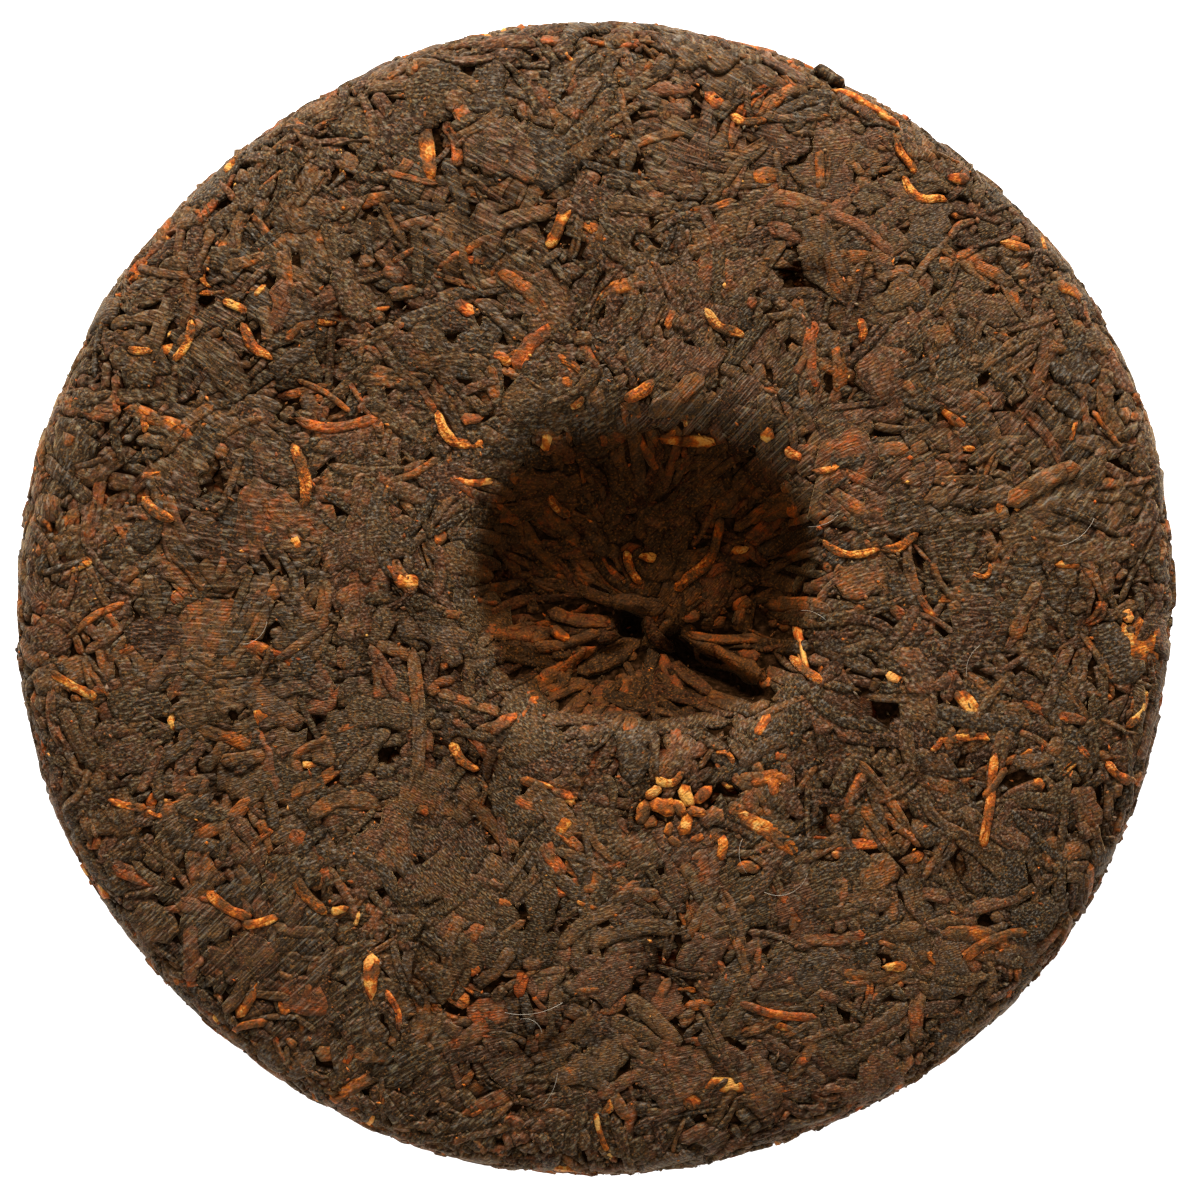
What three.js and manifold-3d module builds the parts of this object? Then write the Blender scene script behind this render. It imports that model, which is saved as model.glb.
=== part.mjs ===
// A round pressed cake of pu erh tea, lying on its gently domed front face, with its back up.
// The back has the hollow that the knot of the pressing cloth leaves, a little off the middle.
// Millimetres, +Z up. The origin is the middle of the spot that the cake rests on.
// +X is the side that the hollow lies towards, and +Y is a quarter turn to its left.
import * as THREE from "three";
import { mergeVertices } from "three/addons/utils/BufferGeometryUtils.js";
import Module from "manifold-3d";

// The cake as it was pressed.
const CAKE_RADIUS = 97.3;
const BACK_HEIGHT = 26; // of the broad ring round the hollow
const RIM_HEIGHT = 14.5; // of the widest line of the rim
const FLAT_BACK_RADIUS = 58;
const BACK_SHOULDER = { radius: 91.5, height: 22.4 };
const FRONT_SHOULDER = { radius: 90.0, height: 7.0 };
const FRONT_FLAT_RADIUS = 30;
const PRESSED_FLAT = 0.7; // how far the front's middle is pressed flat, past its own curve
// How the rim strays from a circle: waves all the way round, each with its height and its turn in degrees.
const RIM_WAVES = [
  { count: 2, height: 0.26, turn: -7 },
  { count: 3, height: 0.22, turn: 120 },
  { count: 4, height: 0.24, turn: -46 },
  { count: 5, height: 0.31, turn: -145 },
  { count: 6, height: 0.21, turn: -141 },
];

// The hollow in the back.
const HOLLOW_MIDDLE = new THREE.Vector2(8.2, 3.7);
const HOLLOW_HALF_WIDTH = 29.5;
const HOLLOW_HALF_LENGTH = 30.0;
const HOLLOW_CORNERS = 3.2; // 2 is an ellipse, and more fills its corners out
const HOLLOW_DEPTH = 14.5;
const END_WALL = 0.24; // share of the hollow's half size that its wall takes at both ends in X
const FAR_WALL = 0.7; // at the +Y side
const NEAR_WALL = 0.6; // and at the -Y side

// The leaves.
const LUMP_SIZE = 7.5; // of the clumps of leaf that swell the surface
const LUMP_RISE = 0.75;
const CORE_DETAIL = 10; // how finely the core's surface is divided
const HOLLOW_PULL = 0.4; // how much closer its divisions are in the hollow
const HOLLOW_PULL_REACH = 46;
const RIM_SINK = 0.35; // leaves are pressed in deeper along the rim
const STRIP_LENGTHS = 3; // straight lengths that a leaf's bend is made of
const TOP_SHARE = 0.62; // of a strip's width, on its pressed top
const STRIP = { length: [9, 17], width: [2.0, 3.6], thickness: 1.7 };
const BROAD = { length: [10, 15], width: [5.5, 8.5], thickness: 1.3 };
const BACK_LEAVES = 76;
const FRONT_LEAVES = 46;
const BROAD_EVERY = 6; // each sixth leaf is a broad one
const SEED = 357;

// The leaves that stand out on the back, each with its middle, its turn from +X and its sizes.
const STANDOUT_LEAVES = [
  { name: "long stalk", at: [-30.6, -19.2], turn: 92, length: 23, width: 2.6, bend: 0.0 },
  { name: "lifted leaf", at: [76.5, 19.6], turn: 38, length: 14, width: 3.2, bend: 0.3 },
  { name: "forked stalk", at: [66.9, -34.4], turn: 80, length: 15, width: 2.2, bend: -0.2 },
  { name: "orange bud", at: [-50.6, 19.4], turn: 97, length: 11, width: 2.8, bend: 0.2 },
  { name: "curled bud", at: [57.2, 77.4], turn: 118, length: 13, width: 2.0, bend: 0.4 },
  { name: "russet stalk", at: [30.3, -70.4], turn: 176, length: 14, width: 1.8, bend: 0.2 },
  { name: "golden bud", at: [-37.8, -63.2], turn: 88, length: 8.5, width: 3.0, bend: 0.0 },
  { name: "crossing leaf", at: [-12.6, -30.2], turn: 34, length: 16, width: 3.2, bend: 0.2 },
];

// The folds that the cloth's knot pressed into the floor of the hollow.
const KNOT = new THREE.Vector2(9.6, -8.6);
const KNOT_FOLDS = [
  { turn: -22, length: 21, width: 3.2 },
  { turn: 4, length: 17, width: 2.2 },
  { turn: 208, length: 18, width: 2.2 },
  { turn: 160, length: 14, width: 2.0 },
  { turn: 100, length: 12, width: 1.8 },
];
const KNOT_PIT = { at: [6.3, -5.0], radius: 2.2, depth: 3.2 };

const wasm = await Module();
wasm.setup();

// Random numbers from 0 to 1, the same ones each time.
function seededRandom(seed) {
  let state = seed;
  return () => {
    state = (state + 0x6d2b79f5) | 0;
    let t = Math.imul(state ^ (state >>> 15), 1 | state);
    t = (t + Math.imul(t ^ (t >>> 7), 61 | t)) ^ t;
    return ((t ^ (t >>> 14)) >>> 0) / 4294967296;
  };
}

const random = seededRandom(SEED);
const between = ([low, high]) => low + (high - low) * random();

// The outline from the middle of the back, over the rim, to the middle of the front.
function pressedOutline() {
  const outline = new THREE.Path();
  outline.moveTo(0, BACK_HEIGHT);
  outline.lineTo(FLAT_BACK_RADIUS, BACK_HEIGHT);
  const { radius: backRadius, height: backHeight } = BACK_SHOULDER;
  outline.bezierCurveTo(
    FLAT_BACK_RADIUS + 14, BACK_HEIGHT,
    backRadius - 8, backHeight + 1.7,
    backRadius, backHeight,
  );
  outline.bezierCurveTo(
    backRadius + 4, backHeight - 0.85,
    CAKE_RADIUS, RIM_HEIGHT + 4.2,
    CAKE_RADIUS, RIM_HEIGHT,
  );
  const { radius: frontRadius, height: frontHeight } = FRONT_SHOULDER;
  outline.bezierCurveTo(
    CAKE_RADIUS, RIM_HEIGHT - 4.0,
    frontRadius + 4.6, frontHeight + 1.9,
    frontRadius, frontHeight,
  );
  outline.bezierCurveTo(
    frontRadius - 12, frontHeight - 4.6,
    FRONT_FLAT_RADIUS + 24, -PRESSED_FLAT,
    FRONT_FLAT_RADIUS, -PRESSED_FLAT,
  );
  outline.lineTo(0, -PRESSED_FLAT);
  return outline;
}

const OUTLINE_STEPS = 800;
const outlinePoints = pressedOutline().getSpacedPoints(OUTLINE_STEPS);
const outlineLength = pressedOutline().getLength();
const rimIndex = outlinePoints.reduce((best, p, i) => (p.x > outlinePoints[best].x ? i : best), 0);
const backReach = (rimIndex / OUTLINE_STEPS) * outlineLength; // along the surface, middle to rim
const frontReach = outlineLength - backReach;

function outlineAt(distance) {
  const share = THREE.MathUtils.clamp(distance / outlineLength, 0, 1) * OUTLINE_STEPS;
  const low = Math.min(Math.floor(share), OUTLINE_STEPS - 1);
  return outlinePoints[low].clone().lerp(outlinePoints[low + 1], share - low);
}

// How deep the hollow is at a place on the back: a flat floor inside a wall that is steep at both ends in X
// and rolls in slowly at the +Y and -Y sides. The reach is 1 along a rounded oblong of the half sizes.
function hollowDepth(x, y) {
  const { smoothstep } = THREE.MathUtils;
  const u = Math.abs(x - HOLLOW_MIDDLE.x) / HOLLOW_HALF_WIDTH;
  const v = (y - HOLLOW_MIDDLE.y) / HOLLOW_HALF_LENGTH;
  const reach = (u ** HOLLOW_CORNERS + Math.abs(v) ** HOLLOW_CORNERS) ** (1 / HOLLOW_CORNERS);
  const towards = v / Math.max(reach, 1e-6);
  const farPart = (FAR_WALL - END_WALL) * smoothstep(towards, 0, 1);
  const nearPart = (NEAR_WALL - END_WALL) * smoothstep(-towards, 0, 1);
  return HOLLOW_DEPTH * (1 - smoothstep(reach, 1 - (END_WALL + farPart + nearPart), 1.04));
}

function rimWave(angle) {
  const { degToRad } = THREE.MathUtils;
  return RIM_WAVES.reduce(
    (sum, { count, height, turn }) => sum + height * Math.cos(count * angle + degToRad(turn)),
    0,
  );
}

// A point of the smooth cake. a and b are measured along the surface from the middle of the named face.
function cakePoint(face, a, b) {
  const distance = Math.hypot(a, b);
  const along = face === "back" ? distance : outlineLength - distance;
  const { x: radius, y: height } = outlineAt(along);
  const angle = Math.atan2(b, a);
  const strayed = radius + rimWave(angle) * (radius / CAKE_RADIUS) ** 4;
  const point = new THREE.Vector3(Math.cos(angle) * strayed, Math.sin(angle) * strayed, height);
  if (along < backReach) point.z -= hollowDepth(point.x, point.y);
  return point;
}

function cakeNormal(face, a, b) {
  const step = 0.4;
  const alongA = cakePoint(face, a + step, b).sub(cakePoint(face, a - step, b));
  const alongB = cakePoint(face, a, b + step).sub(cakePoint(face, a, b - step));
  const normal = alongA.cross(alongB).normalize();
  return face === "back" ? normal : normal.negate();
}

// Smooth noise from -1 to 1, whose bumps are one unit wide.
function softNoise(x, y, z) {
  const corner = (i, j, k) => {
    let h = Math.imul(i, 374761393) ^ Math.imul(j, 668265263) ^ Math.imul(k, 2147483647 - 1274126177);
    h = Math.imul(h ^ (h >>> 13), 1274126177);
    return ((h ^ (h >>> 16)) >>> 0) / 2147483648 - 1;
  };
  const [i, j, k] = [Math.floor(x), Math.floor(y), Math.floor(z)];
  const ease = (t) => t * t * (3 - 2 * t);
  const [u, v, w] = [ease(x - i), ease(y - j), ease(z - k)];
  const { lerp } = THREE.MathUtils;
  const edge = (dj, dk) => lerp(corner(i, j + dj, k + dk), corner(i + 1, j + dj, k + dk), u);
  return lerp(lerp(edge(0, 0), edge(1, 0), v), lerp(edge(0, 1), edge(1, 1), v), w);
}

function lumps(p) {
  const coarse = softNoise(p.x / LUMP_SIZE, p.y / LUMP_SIZE, p.z / LUMP_SIZE);
  const fine = softNoise(p.x / (LUMP_SIZE / 2) + 40, p.y / (LUMP_SIZE / 2), p.z / (LUMP_SIZE / 2));
  const clearOfTable = THREE.MathUtils.smoothstep(p.z, 0, 2);
  return LUMP_RISE * clearOfTable * (0.55 * coarse + 0.45 * fine);
}

// Draws a place on the back towards the hollow, so that the core is divided more finely there.
function drawnToHollow(a, b) {
  const place = new THREE.Vector2(a, b);
  const away = place.distanceTo(HOLLOW_MIDDLE) / HOLLOW_PULL_REACH;
  return place.lerp(HOLLOW_MIDDLE, HOLLOW_PULL * Math.exp(-away * away));
}

// The pressed core: an icosphere whose two halves are spread over the back and the front.
function coreGeometry() {
  const geometry = new THREE.IcosahedronGeometry(1, CORE_DETAIL);
  const position = geometry.attributes.position;
  const direction = new THREE.Vector3();
  for (let i = 0; i < position.count; i += 1) {
    direction.fromBufferAttribute(position, i).normalize();
    const onBack = direction.z >= 0;
    const fromPole = Math.acos(Math.min(1, Math.abs(direction.z))) / (Math.PI / 2);
    // The rings draw closer together towards the rim, which is the most curved.
    const share = fromPole * (1.22 - 0.22 * fromPole * fromPole);
    const distance = share * (onBack ? backReach : frontReach);
    const angle = Math.atan2(direction.y, direction.x);
    const face = onBack ? "back" : "front";
    const spread = new THREE.Vector2(Math.cos(angle) * distance, Math.sin(angle) * distance);
    const { x: a, y: b } = onBack ? drawnToHollow(spread.x, spread.y) : spread;
    const point = cakePoint(face, a, b);
    point.addScaledVector(cakeNormal(face, a, b), lumps(point));
    position.setXYZ(i, point.x, point.y, point.z);
  }
  return geometry;
}

// Bends a piece that was made flat, with X along it and Z up, onto the cake's surface.
// The front faces down, so a piece on it is turned over, and its sideways direction with it.
function layOnCake(geometry, face, a, b, turn, bend, sink) {
  const position = geometry.attributes.position;
  for (let i = 0; i < position.count; i += 1) {
    const x = position.getX(i);
    const y = face === "back" ? position.getY(i) : -position.getY(i);
    const z = position.getZ(i);
    const heading = turn + bend * 0.1 * x;
    const placeA = a + Math.cos(heading) * x - Math.sin(heading) * y;
    const placeB = b + Math.sin(heading) * x + Math.cos(heading) * y;
    const point = cakePoint(face, placeA, placeB);
    point.addScaledVector(cakeNormal(face, placeA, placeB), z - sink + 0.5 * lumps(point));
    position.setXYZ(i, point.x, point.y, point.z);
  }
  return geometry;
}

// A rolled leaf that was pressed flat: a bar with a narrower top, which tapers to its ends.
function stripGeometry(length, width, thickness) {
  const geometry = new THREE.BoxGeometry(length, width, thickness, STRIP_LENGTHS, 1, 1);
  const position = geometry.attributes.position;
  for (let i = 0; i < position.count; i += 1) {
    const x = position.getX(i);
    const z = position.getZ(i);
    const taper = 1 - 0.5 * Math.abs((2 * x) / length) ** 3;
    const slope = z > 0 ? TOP_SHARE : 1;
    position.setY(i, position.getY(i) * taper * slope);
    position.setZ(i, z > 0 ? z * (0.6 + 0.4 * taper) : z);
  }
  return geometry;
}

// A broad leaf: a thin wavy plate with a pointed oval outline, its two faces divided alike.
function broadLeafGeometry(length, width, thickness) {
  const geometry = new THREE.BoxGeometry(length, width, thickness, 4, 2, 1);
  const position = geometry.attributes.position;
  for (let i = 0; i < position.count; i += 1) {
    const x = position.getX(i);
    const y = position.getY(i);
    const narrowed = 1 - 0.7 * ((2 * x) / length) ** 2;
    const wave = 0.12 * thickness * Math.sin((5 * x) / length + (4 * y) / width);
    position.setY(i, y * narrowed);
    position.setZ(i, position.getZ(i) + wave);
  }
  return geometry;
}

// A solid for the joins and cuts, from a closed geometry.
function solidOf(geometry) {
  const bare = geometry.index ? geometry.toNonIndexed() : geometry.clone();
  bare.deleteAttribute("normal");
  bare.deleteAttribute("uv");
  const merged = mergeVertices(bare, 1e-4);
  return new wasm.Manifold(
    new wasm.Mesh({
      numProp: 3,
      vertProperties: merged.attributes.position.array,
      triVerts: new Uint32Array(merged.index.array),
    }),
  );
}

function geometryOf(solid) {
  const mesh = solid.getMesh();
  const geometry = new THREE.BufferGeometry();
  geometry.setAttribute("position", new THREE.BufferAttribute(new Float32Array(mesh.vertProperties), 3));
  geometry.setIndex(new THREE.BufferAttribute(new Uint32Array(mesh.triVerts), 1));
  geometry.computeVertexNormals();
  return geometry;
}

// Leaves spread evenly over a face, turning by the golden angle from each to the next.
function spreadLeaves(face, count) {
  const goldenAngle = Math.PI * (3 - Math.sqrt(5));
  const reach = (face === "back" ? backReach : frontReach) + 2;
  const leaves = [];
  for (let i = 0; i < count; i += 1) {
    const distance = reach * Math.sqrt((i + 0.5) / count);
    const angle = i * goldenAngle + 0.25 * random();
    const broad = i % BROAD_EVERY === 3;
    const size = broad ? BROAD : STRIP;
    const length = between(size.length);
    const width = between(size.width);
    const shape = broad
      ? broadLeafGeometry(length, width, size.thickness)
      : stripGeometry(length, width, size.thickness);
    const turn = 2 * Math.PI * random();
    const bend = broad ? 0 : between([-0.7, 0.7]);
    const sink = (broad ? 0.25 * size.thickness : 0) + (distance > reach - 14 ? RIM_SINK : 0);
    const [a, b] = [Math.cos(angle) * distance, Math.sin(angle) * distance];
    leaves.push(solidOf(layOnCake(shape, face, a, b, turn, bend, sink)));
  }
  return leaves;
}

function standoutLeaves() {
  return STANDOUT_LEAVES.map(({ at, turn, length, width, bend }) => {
    const shape = stripGeometry(length, width, STRIP.thickness);
    const heading = THREE.MathUtils.degToRad(turn);
    return solidOf(layOnCake(shape, "back", at[0], at[1], heading, bend, -0.15));
  });
}

// The folds round the knot, as the slivers that they cut out, and the pit that the knot's end leaves.
function knotCuts() {
  const cuts = KNOT_FOLDS.map(({ turn, length, width }) => {
    const heading = THREE.MathUtils.degToRad(turn);
    const shape = stripGeometry(length, width, 3.4);
    const a = KNOT.x + 0.42 * length * Math.cos(heading);
    const b = KNOT.y + 0.42 * length * Math.sin(heading);
    return solidOf(layOnCake(shape, "back", a, b, heading, 0, 0.5));
  });
  const floor = cakePoint("back", ...KNOT_PIT.at).z;
  const pit = new THREE.ConeGeometry(KNOT_PIT.radius, 2 * KNOT_PIT.depth, 7);
  pit.rotateX(-Math.PI / 2).translate(KNOT_PIT.at[0], KNOT_PIT.at[1], floor);
  cuts.push(solidOf(pit));
  return cuts;
}

// What the table presses flat: everything below the plane that the cake rests on.
function belowTheTable() {
  const width = 3 * CAKE_RADIUS;
  return solidOf(new THREE.BoxGeometry(width, width, 10).translate(0, 0, -5));
}

function teaCake() {
  const leaves = [
    ...spreadLeaves("back", BACK_LEAVES),
    ...spreadLeaves("front", FRONT_LEAVES),
    ...standoutLeaves(),
  ];
  const covered = leaves.reduce((whole, leaf) => whole.add(leaf), solidOf(coreGeometry()));
  const creased = knotCuts().reduce((whole, cut) => whole.subtract(cut), covered);
  const pressed = creased.subtract(belowTheTable());
  const largest = pressed.decompose().sort((p, q) => q.volume() - p.volume())[0];
  const geometry = geometryOf(largest);
  geometry.computeBoundingBox();
  const { min, max } = geometry.boundingBox;
  geometry.translate(-(min.x + max.x) / 2, -(min.y + max.y) / 2, -min.z);
  const pressedTea = new THREE.MeshStandardMaterial({ color: 0x53392a, roughness: 0.72, metalness: 0 });
  const mesh = new THREE.Mesh(geometry, pressedTea);
  mesh.name = "tea_cake";
  return mesh;
}

const group = new THREE.Group();
group.add(teaCake());

export default group;
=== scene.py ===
# %% [markdown]
# # A pressed cake of ripe pu erh tea
# Steamed tea leaves are put into a cotton bag, the bag is twisted shut, and a stone or a press flattens
# it into a disc. The cake lies here on its gently domed front, with its back up. The back keeps the
# hollow that the knot of the bag leaves. This notebook rebuilds the cake leaf by leaf over a packed
# core of its own, and hides the imported solid. All sizes are in millimetres until a mesh is made.

# %% Load the imported solid
import math
import time

import bpy
import numpy as np
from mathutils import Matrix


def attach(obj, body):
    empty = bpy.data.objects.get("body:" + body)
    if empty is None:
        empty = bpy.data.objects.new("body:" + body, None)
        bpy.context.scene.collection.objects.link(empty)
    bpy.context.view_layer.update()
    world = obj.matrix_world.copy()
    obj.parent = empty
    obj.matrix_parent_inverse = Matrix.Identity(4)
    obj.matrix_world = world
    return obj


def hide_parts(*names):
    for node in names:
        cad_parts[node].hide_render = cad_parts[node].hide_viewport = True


started = time.time()
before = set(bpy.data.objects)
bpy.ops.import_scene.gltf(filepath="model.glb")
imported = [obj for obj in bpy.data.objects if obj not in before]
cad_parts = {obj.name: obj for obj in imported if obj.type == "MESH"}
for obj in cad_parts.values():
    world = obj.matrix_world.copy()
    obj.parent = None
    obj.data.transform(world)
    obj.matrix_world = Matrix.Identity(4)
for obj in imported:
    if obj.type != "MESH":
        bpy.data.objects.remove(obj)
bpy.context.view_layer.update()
MM = 0.001
SEED = 357
rng = np.random.default_rng(SEED)

# %% [markdown]
# ## The cake without its leaves
# A pressed cake is a turned shape: one outline carried round the middle, a little out of round, with
# the knot's hollow pressed into its back. The outline is four Bezier curves and two straight lines.
# A place on the cake is given by its face, back or front, and by two lengths a and b measured along
# the surface from the middle of that face, as if a paper disc were smoothed down over it. Leaves
# can then be laid out flat on the disc and still keep their true length over the rim.

# %% The outline, from the middle of the back over the rim to the middle of the front
CAKE_RADIUS = 97.3
BACK_HEIGHT = 26.0
RIM_HEIGHT = 14.5
FLAT_BACK_RADIUS = 58.0
BACK_SHOULDER = (91.5, 22.4)
FRONT_SHOULDER = (90.0, 7.0)
FRONT_FLAT_RADIUS = 30.0
FRONT_CLEARANCE = 0.5  # the middle of the front stays this far up, so that its leaves reach the table


def bezier(p0, p1, p2, p3, steps=160):
    """Points of a cubic curve: each corner point weighted by its Bernstein polynomial of t."""
    t = np.linspace(0, 1, steps)[:, None]
    p0, p1, p2, p3 = (np.array(p, float) for p in (p0, p1, p2, p3))
    return (1 - t) ** 3 * p0 + 3 * (1 - t) ** 2 * t * p1 + 3 * (1 - t) * t**2 * p2 + t**3 * p3


def pressed_outline():
    """The outline as (distance along it, radius, height) arrays."""
    back_radius, back_height = BACK_SHOULDER
    front_radius, front_height = FRONT_SHOULDER
    low = FRONT_CLEARANCE
    pieces = [
        [(0, BACK_HEIGHT)],
        bezier((FLAT_BACK_RADIUS, BACK_HEIGHT), (FLAT_BACK_RADIUS + 14, BACK_HEIGHT),
               (back_radius - 8, back_height + 1.7), BACK_SHOULDER),
        bezier(BACK_SHOULDER, (back_radius + 4, back_height - 0.85),
               (CAKE_RADIUS, RIM_HEIGHT + 4.2), (CAKE_RADIUS, RIM_HEIGHT)),
        bezier((CAKE_RADIUS, RIM_HEIGHT), (CAKE_RADIUS, RIM_HEIGHT - 4.0),
               (front_radius + 4.6, front_height + 1.9), FRONT_SHOULDER),
        bezier(FRONT_SHOULDER, (front_radius - 12, front_height - 4.6),
               (FRONT_FLAT_RADIUS + 24, low), (FRONT_FLAT_RADIUS, low)),
        [(0, low)],
    ]
    points = np.concatenate([np.array(piece, float) for piece in pieces])
    steps = np.hypot(*np.diff(points, axis=0).T)
    keep = np.concatenate([[True], steps > 1e-6])
    points = points[keep]
    along = np.concatenate([[0], np.cumsum(np.hypot(*np.diff(points, axis=0).T))])
    return along, points[:, 0], points[:, 1]


OUTLINE_ALONG, OUTLINE_RADIUS, OUTLINE_HEIGHT = pressed_outline()
OUTLINE_LENGTH = OUTLINE_ALONG[-1]
RIM_INDEX = int(np.argmax(OUTLINE_RADIUS))
BACK_REACH = OUTLINE_ALONG[RIM_INDEX]
FRONT_REACH = OUTLINE_LENGTH - BACK_REACH
REACH = {"back": BACK_REACH, "front": FRONT_REACH}
print("from the middle to the rim, along the back and the front in mm:",
      round(BACK_REACH, 1), round(FRONT_REACH, 1))

# %% The hollow of the knot, and the waves of the rim
HOLLOW_MIDDLE = (8.2, 3.7)
HOLLOW_HALF_WIDTH = 29.5
HOLLOW_HALF_LENGTH = 30.0
HOLLOW_CORNERS = 3.2  # 2 is an ellipse, and more fills its corners out
HOLLOW_DEPTH = 14.5
END_WALL = 0.24  # share of the hollow's half size that its wall takes at both ends in X
FAR_WALL = 0.7  # at the +Y side
NEAR_WALL = 0.6  # and at the -Y side
# Each wave of the rim: how many go round, its height in mm and its turn in degrees.
RIM_WAVES = ((1, 0.6, 60), (2, 0.26, -7), (3, 0.22, 120), (4, 0.24, -46), (5, 0.31, -145), (6, 0.21, -141))
KNOT = (9.6, -8.6)
# Each crease: where it starts, its direction in degrees, how far it swings aside, its length, its depth
# and its half width. A negative depth is a ridge.
KNOT_CREASES = ((11.8, -7.4, -36, 3.2, 21.0, 5.8, 1.75), (26.5, -15.6, 42, 0.3, 9.5, 1.9, 1.0),
                (16.0, -7.9, -25, 0.0, 15.5, -1.4, 1.8), (13.0, -6.0, -2, 0.8, 20.0, 0.9, 1.0),
                (8.0, -6.5, 207, -0.8, 17.0, 1.2, 1.0), (5.0, -3.4, 176, 0.4, 13.0, 0.8, 1.0),
                (8.0, -1.6, 176, 0.0, 9.0, -1.0, 1.6), (-18.0, -6.4, -6, 0.0, 24.0, -2.7, 4.6))
KNOT_PIT = (6.2, -4.7, 4.6, 2.1)  # x, y, depth, radius


def ease(t):
    """0 below 0, 1 above 1, and the cubic 3t^2 - 2t^3 between them."""
    t = np.clip(t, 0, 1)
    return t * t * (3 - 2 * t)


NOISE_CELLS = 256
NOISE = rng.uniform(-1, 1, (NOISE_CELLS, NOISE_CELLS))


def soft_noise(x, y):
    """Noise from -1 to 1 with bumps one unit wide: the corners of each cell blended by eased weights."""
    i, j = np.floor(x).astype(np.int64), np.floor(y).astype(np.int64)
    u, v = ease(x - i), ease(y - j)
    i0, j0, i1, j1 = (k % NOISE_CELLS for k in (i, j, i + 1, j + 1))
    low = NOISE[i0, j0] * (1 - u) + NOISE[i1, j0] * u
    high = NOISE[i0, j1] * (1 - u) + NOISE[i1, j1] * u
    return low * (1 - v) + high * v


def swell(a, b):
    """The slow waves in mm that the press leaves all over a face."""
    return 0.24 * soft_noise(a / 9 + 11, b / 9) + 0.13 * soft_noise(a / 3.6 + 70, b / 3.6)


def hollow_depth(x, y):
    """A flat floor inside a wall. The reach is (u^n + v^n)^(1/n), which is 1 along a rounded oblong."""
    u = np.abs(x - HOLLOW_MIDDLE[0]) / HOLLOW_HALF_WIDTH
    v = (y - HOLLOW_MIDDLE[1]) / HOLLOW_HALF_LENGTH
    reach = (u**HOLLOW_CORNERS + np.abs(v) ** HOLLOW_CORNERS) ** (1 / HOLLOW_CORNERS)
    towards = v / np.maximum(reach, 1e-6)
    wall = END_WALL + (FAR_WALL - END_WALL) * ease(towards) + (NEAR_WALL - END_WALL) * ease(-towards)
    return HOLLOW_DEPTH * (1 - ease((reach - 1 + wall) / (0.04 + wall)))


def crease_depth(x, y):
    """Grooves and ridges round the knot: each swings aside by swing*t^2, fades along its length and is
    a bell curve across it."""
    groove = np.zeros_like(x)
    ridge = np.zeros_like(x)
    for x0, y0, turn, swing, length, deep, half_width in KNOT_CREASES:
        heading = math.radians(turn)
        along = (x - x0) * math.cos(heading) + (y - y0) * math.sin(heading)
        across = (y - y0) * math.cos(heading) - (x - x0) * math.sin(heading)
        across = across - swing * (along / length) ** 2 - 0.35 * np.sin(along * 0.6 + turn)
        fade = ease(along / 3 + 0.3) * (1 - ease((along - 0.7 * length) / (0.3 * length)))
        depth = deep * fade * np.exp(-((across / half_width) ** 2))
        groove = np.maximum(groove, depth)
        ridge = np.minimum(ridge, depth)
    x0, y0, deep, radius = KNOT_PIT
    pit = deep * np.exp(-(((x - x0) ** 4 + (y - y0) ** 4) / radius**4))
    return np.maximum(groove, pit) + ridge * (1 - ease(groove / 4))


def cake_point(face, a, b):
    """The point at lengths a and b from the middle of a face. Its radius and height are read off the
    outline at distance hypot(a, b), and its direction is that of (a, b)."""
    distance = np.hypot(a, b)
    along = distance if face == "back" else OUTLINE_LENGTH - distance
    radius = np.interp(along, OUTLINE_ALONG, OUTLINE_RADIUS)
    height = np.interp(along, OUTLINE_ALONG, OUTLINE_HEIGHT)
    angle = np.arctan2(b, a)
    wave = sum(high * np.cos(count * angle + math.radians(turn)) for count, high, turn in RIM_WAVES)
    radius = radius + wave * (radius / CAKE_RADIUS) ** 4
    x, y = radius * np.cos(angle), radius * np.sin(angle)
    pressed_in = np.where(along < BACK_REACH, hollow_depth(x, y), 0)
    return np.stack([x, y, height - pressed_in], axis=-1)


def creased_point(face, a, b):
    """The same point, sunk into the creases round the knot."""
    point = cake_point(face, a, b)
    if face == "back":
        point[..., 2] -= crease_depth(point[..., 0], point[..., 1])
    return point


def cake_directions(face, a, b, step=0.5):
    """Three unit directions at a place: along a, sideways, and outwards. The outward one is the cross
    product of the differences along a and along b, turned round on the front."""
    along_a = cake_point(face, a + step, b) - cake_point(face, a - step, b)
    along_b = cake_point(face, a, b + step) - cake_point(face, a, b - step)
    outward = np.cross(along_a, along_b)
    outward /= np.linalg.norm(outward, axis=-1, keepdims=True)
    along_a /= np.linalg.norm(along_a, axis=-1, keepdims=True)
    if face == "front":
        outward = -outward
    return along_a, np.cross(outward, along_a), outward


CLOTH_TURN = math.radians(20)
CLOTH_FOLDS = (43, 21)  # mm from fold to fold, and how far they shift the cloth


def cloth_threads(face, a, b):
    """How many mm of the cloth's two threads lie up to a place: the two lengths, turned and shifted by a
    slow noise, because the bag is drawn together in folds."""
    cos, sin = math.cos(CLOTH_TURN), math.sin(CLOTH_TURN)
    size, shift = CLOTH_FOLDS
    weft = a * cos + b * sin + shift * soft_noise(a / size + 3, b / size + 3)
    warp = b * cos - a * sin + shift * soft_noise(a / size + 80, b / size)
    return np.stack([weft, warp + (40 if face == "front" else 0)], axis=-1)


floor = cake_point("back", *map(np.array, HOLLOW_MIDDLE))
print("depth of the hollow below the back in mm:", round(BACK_HEIGHT - float(floor[2]), 1))

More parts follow.
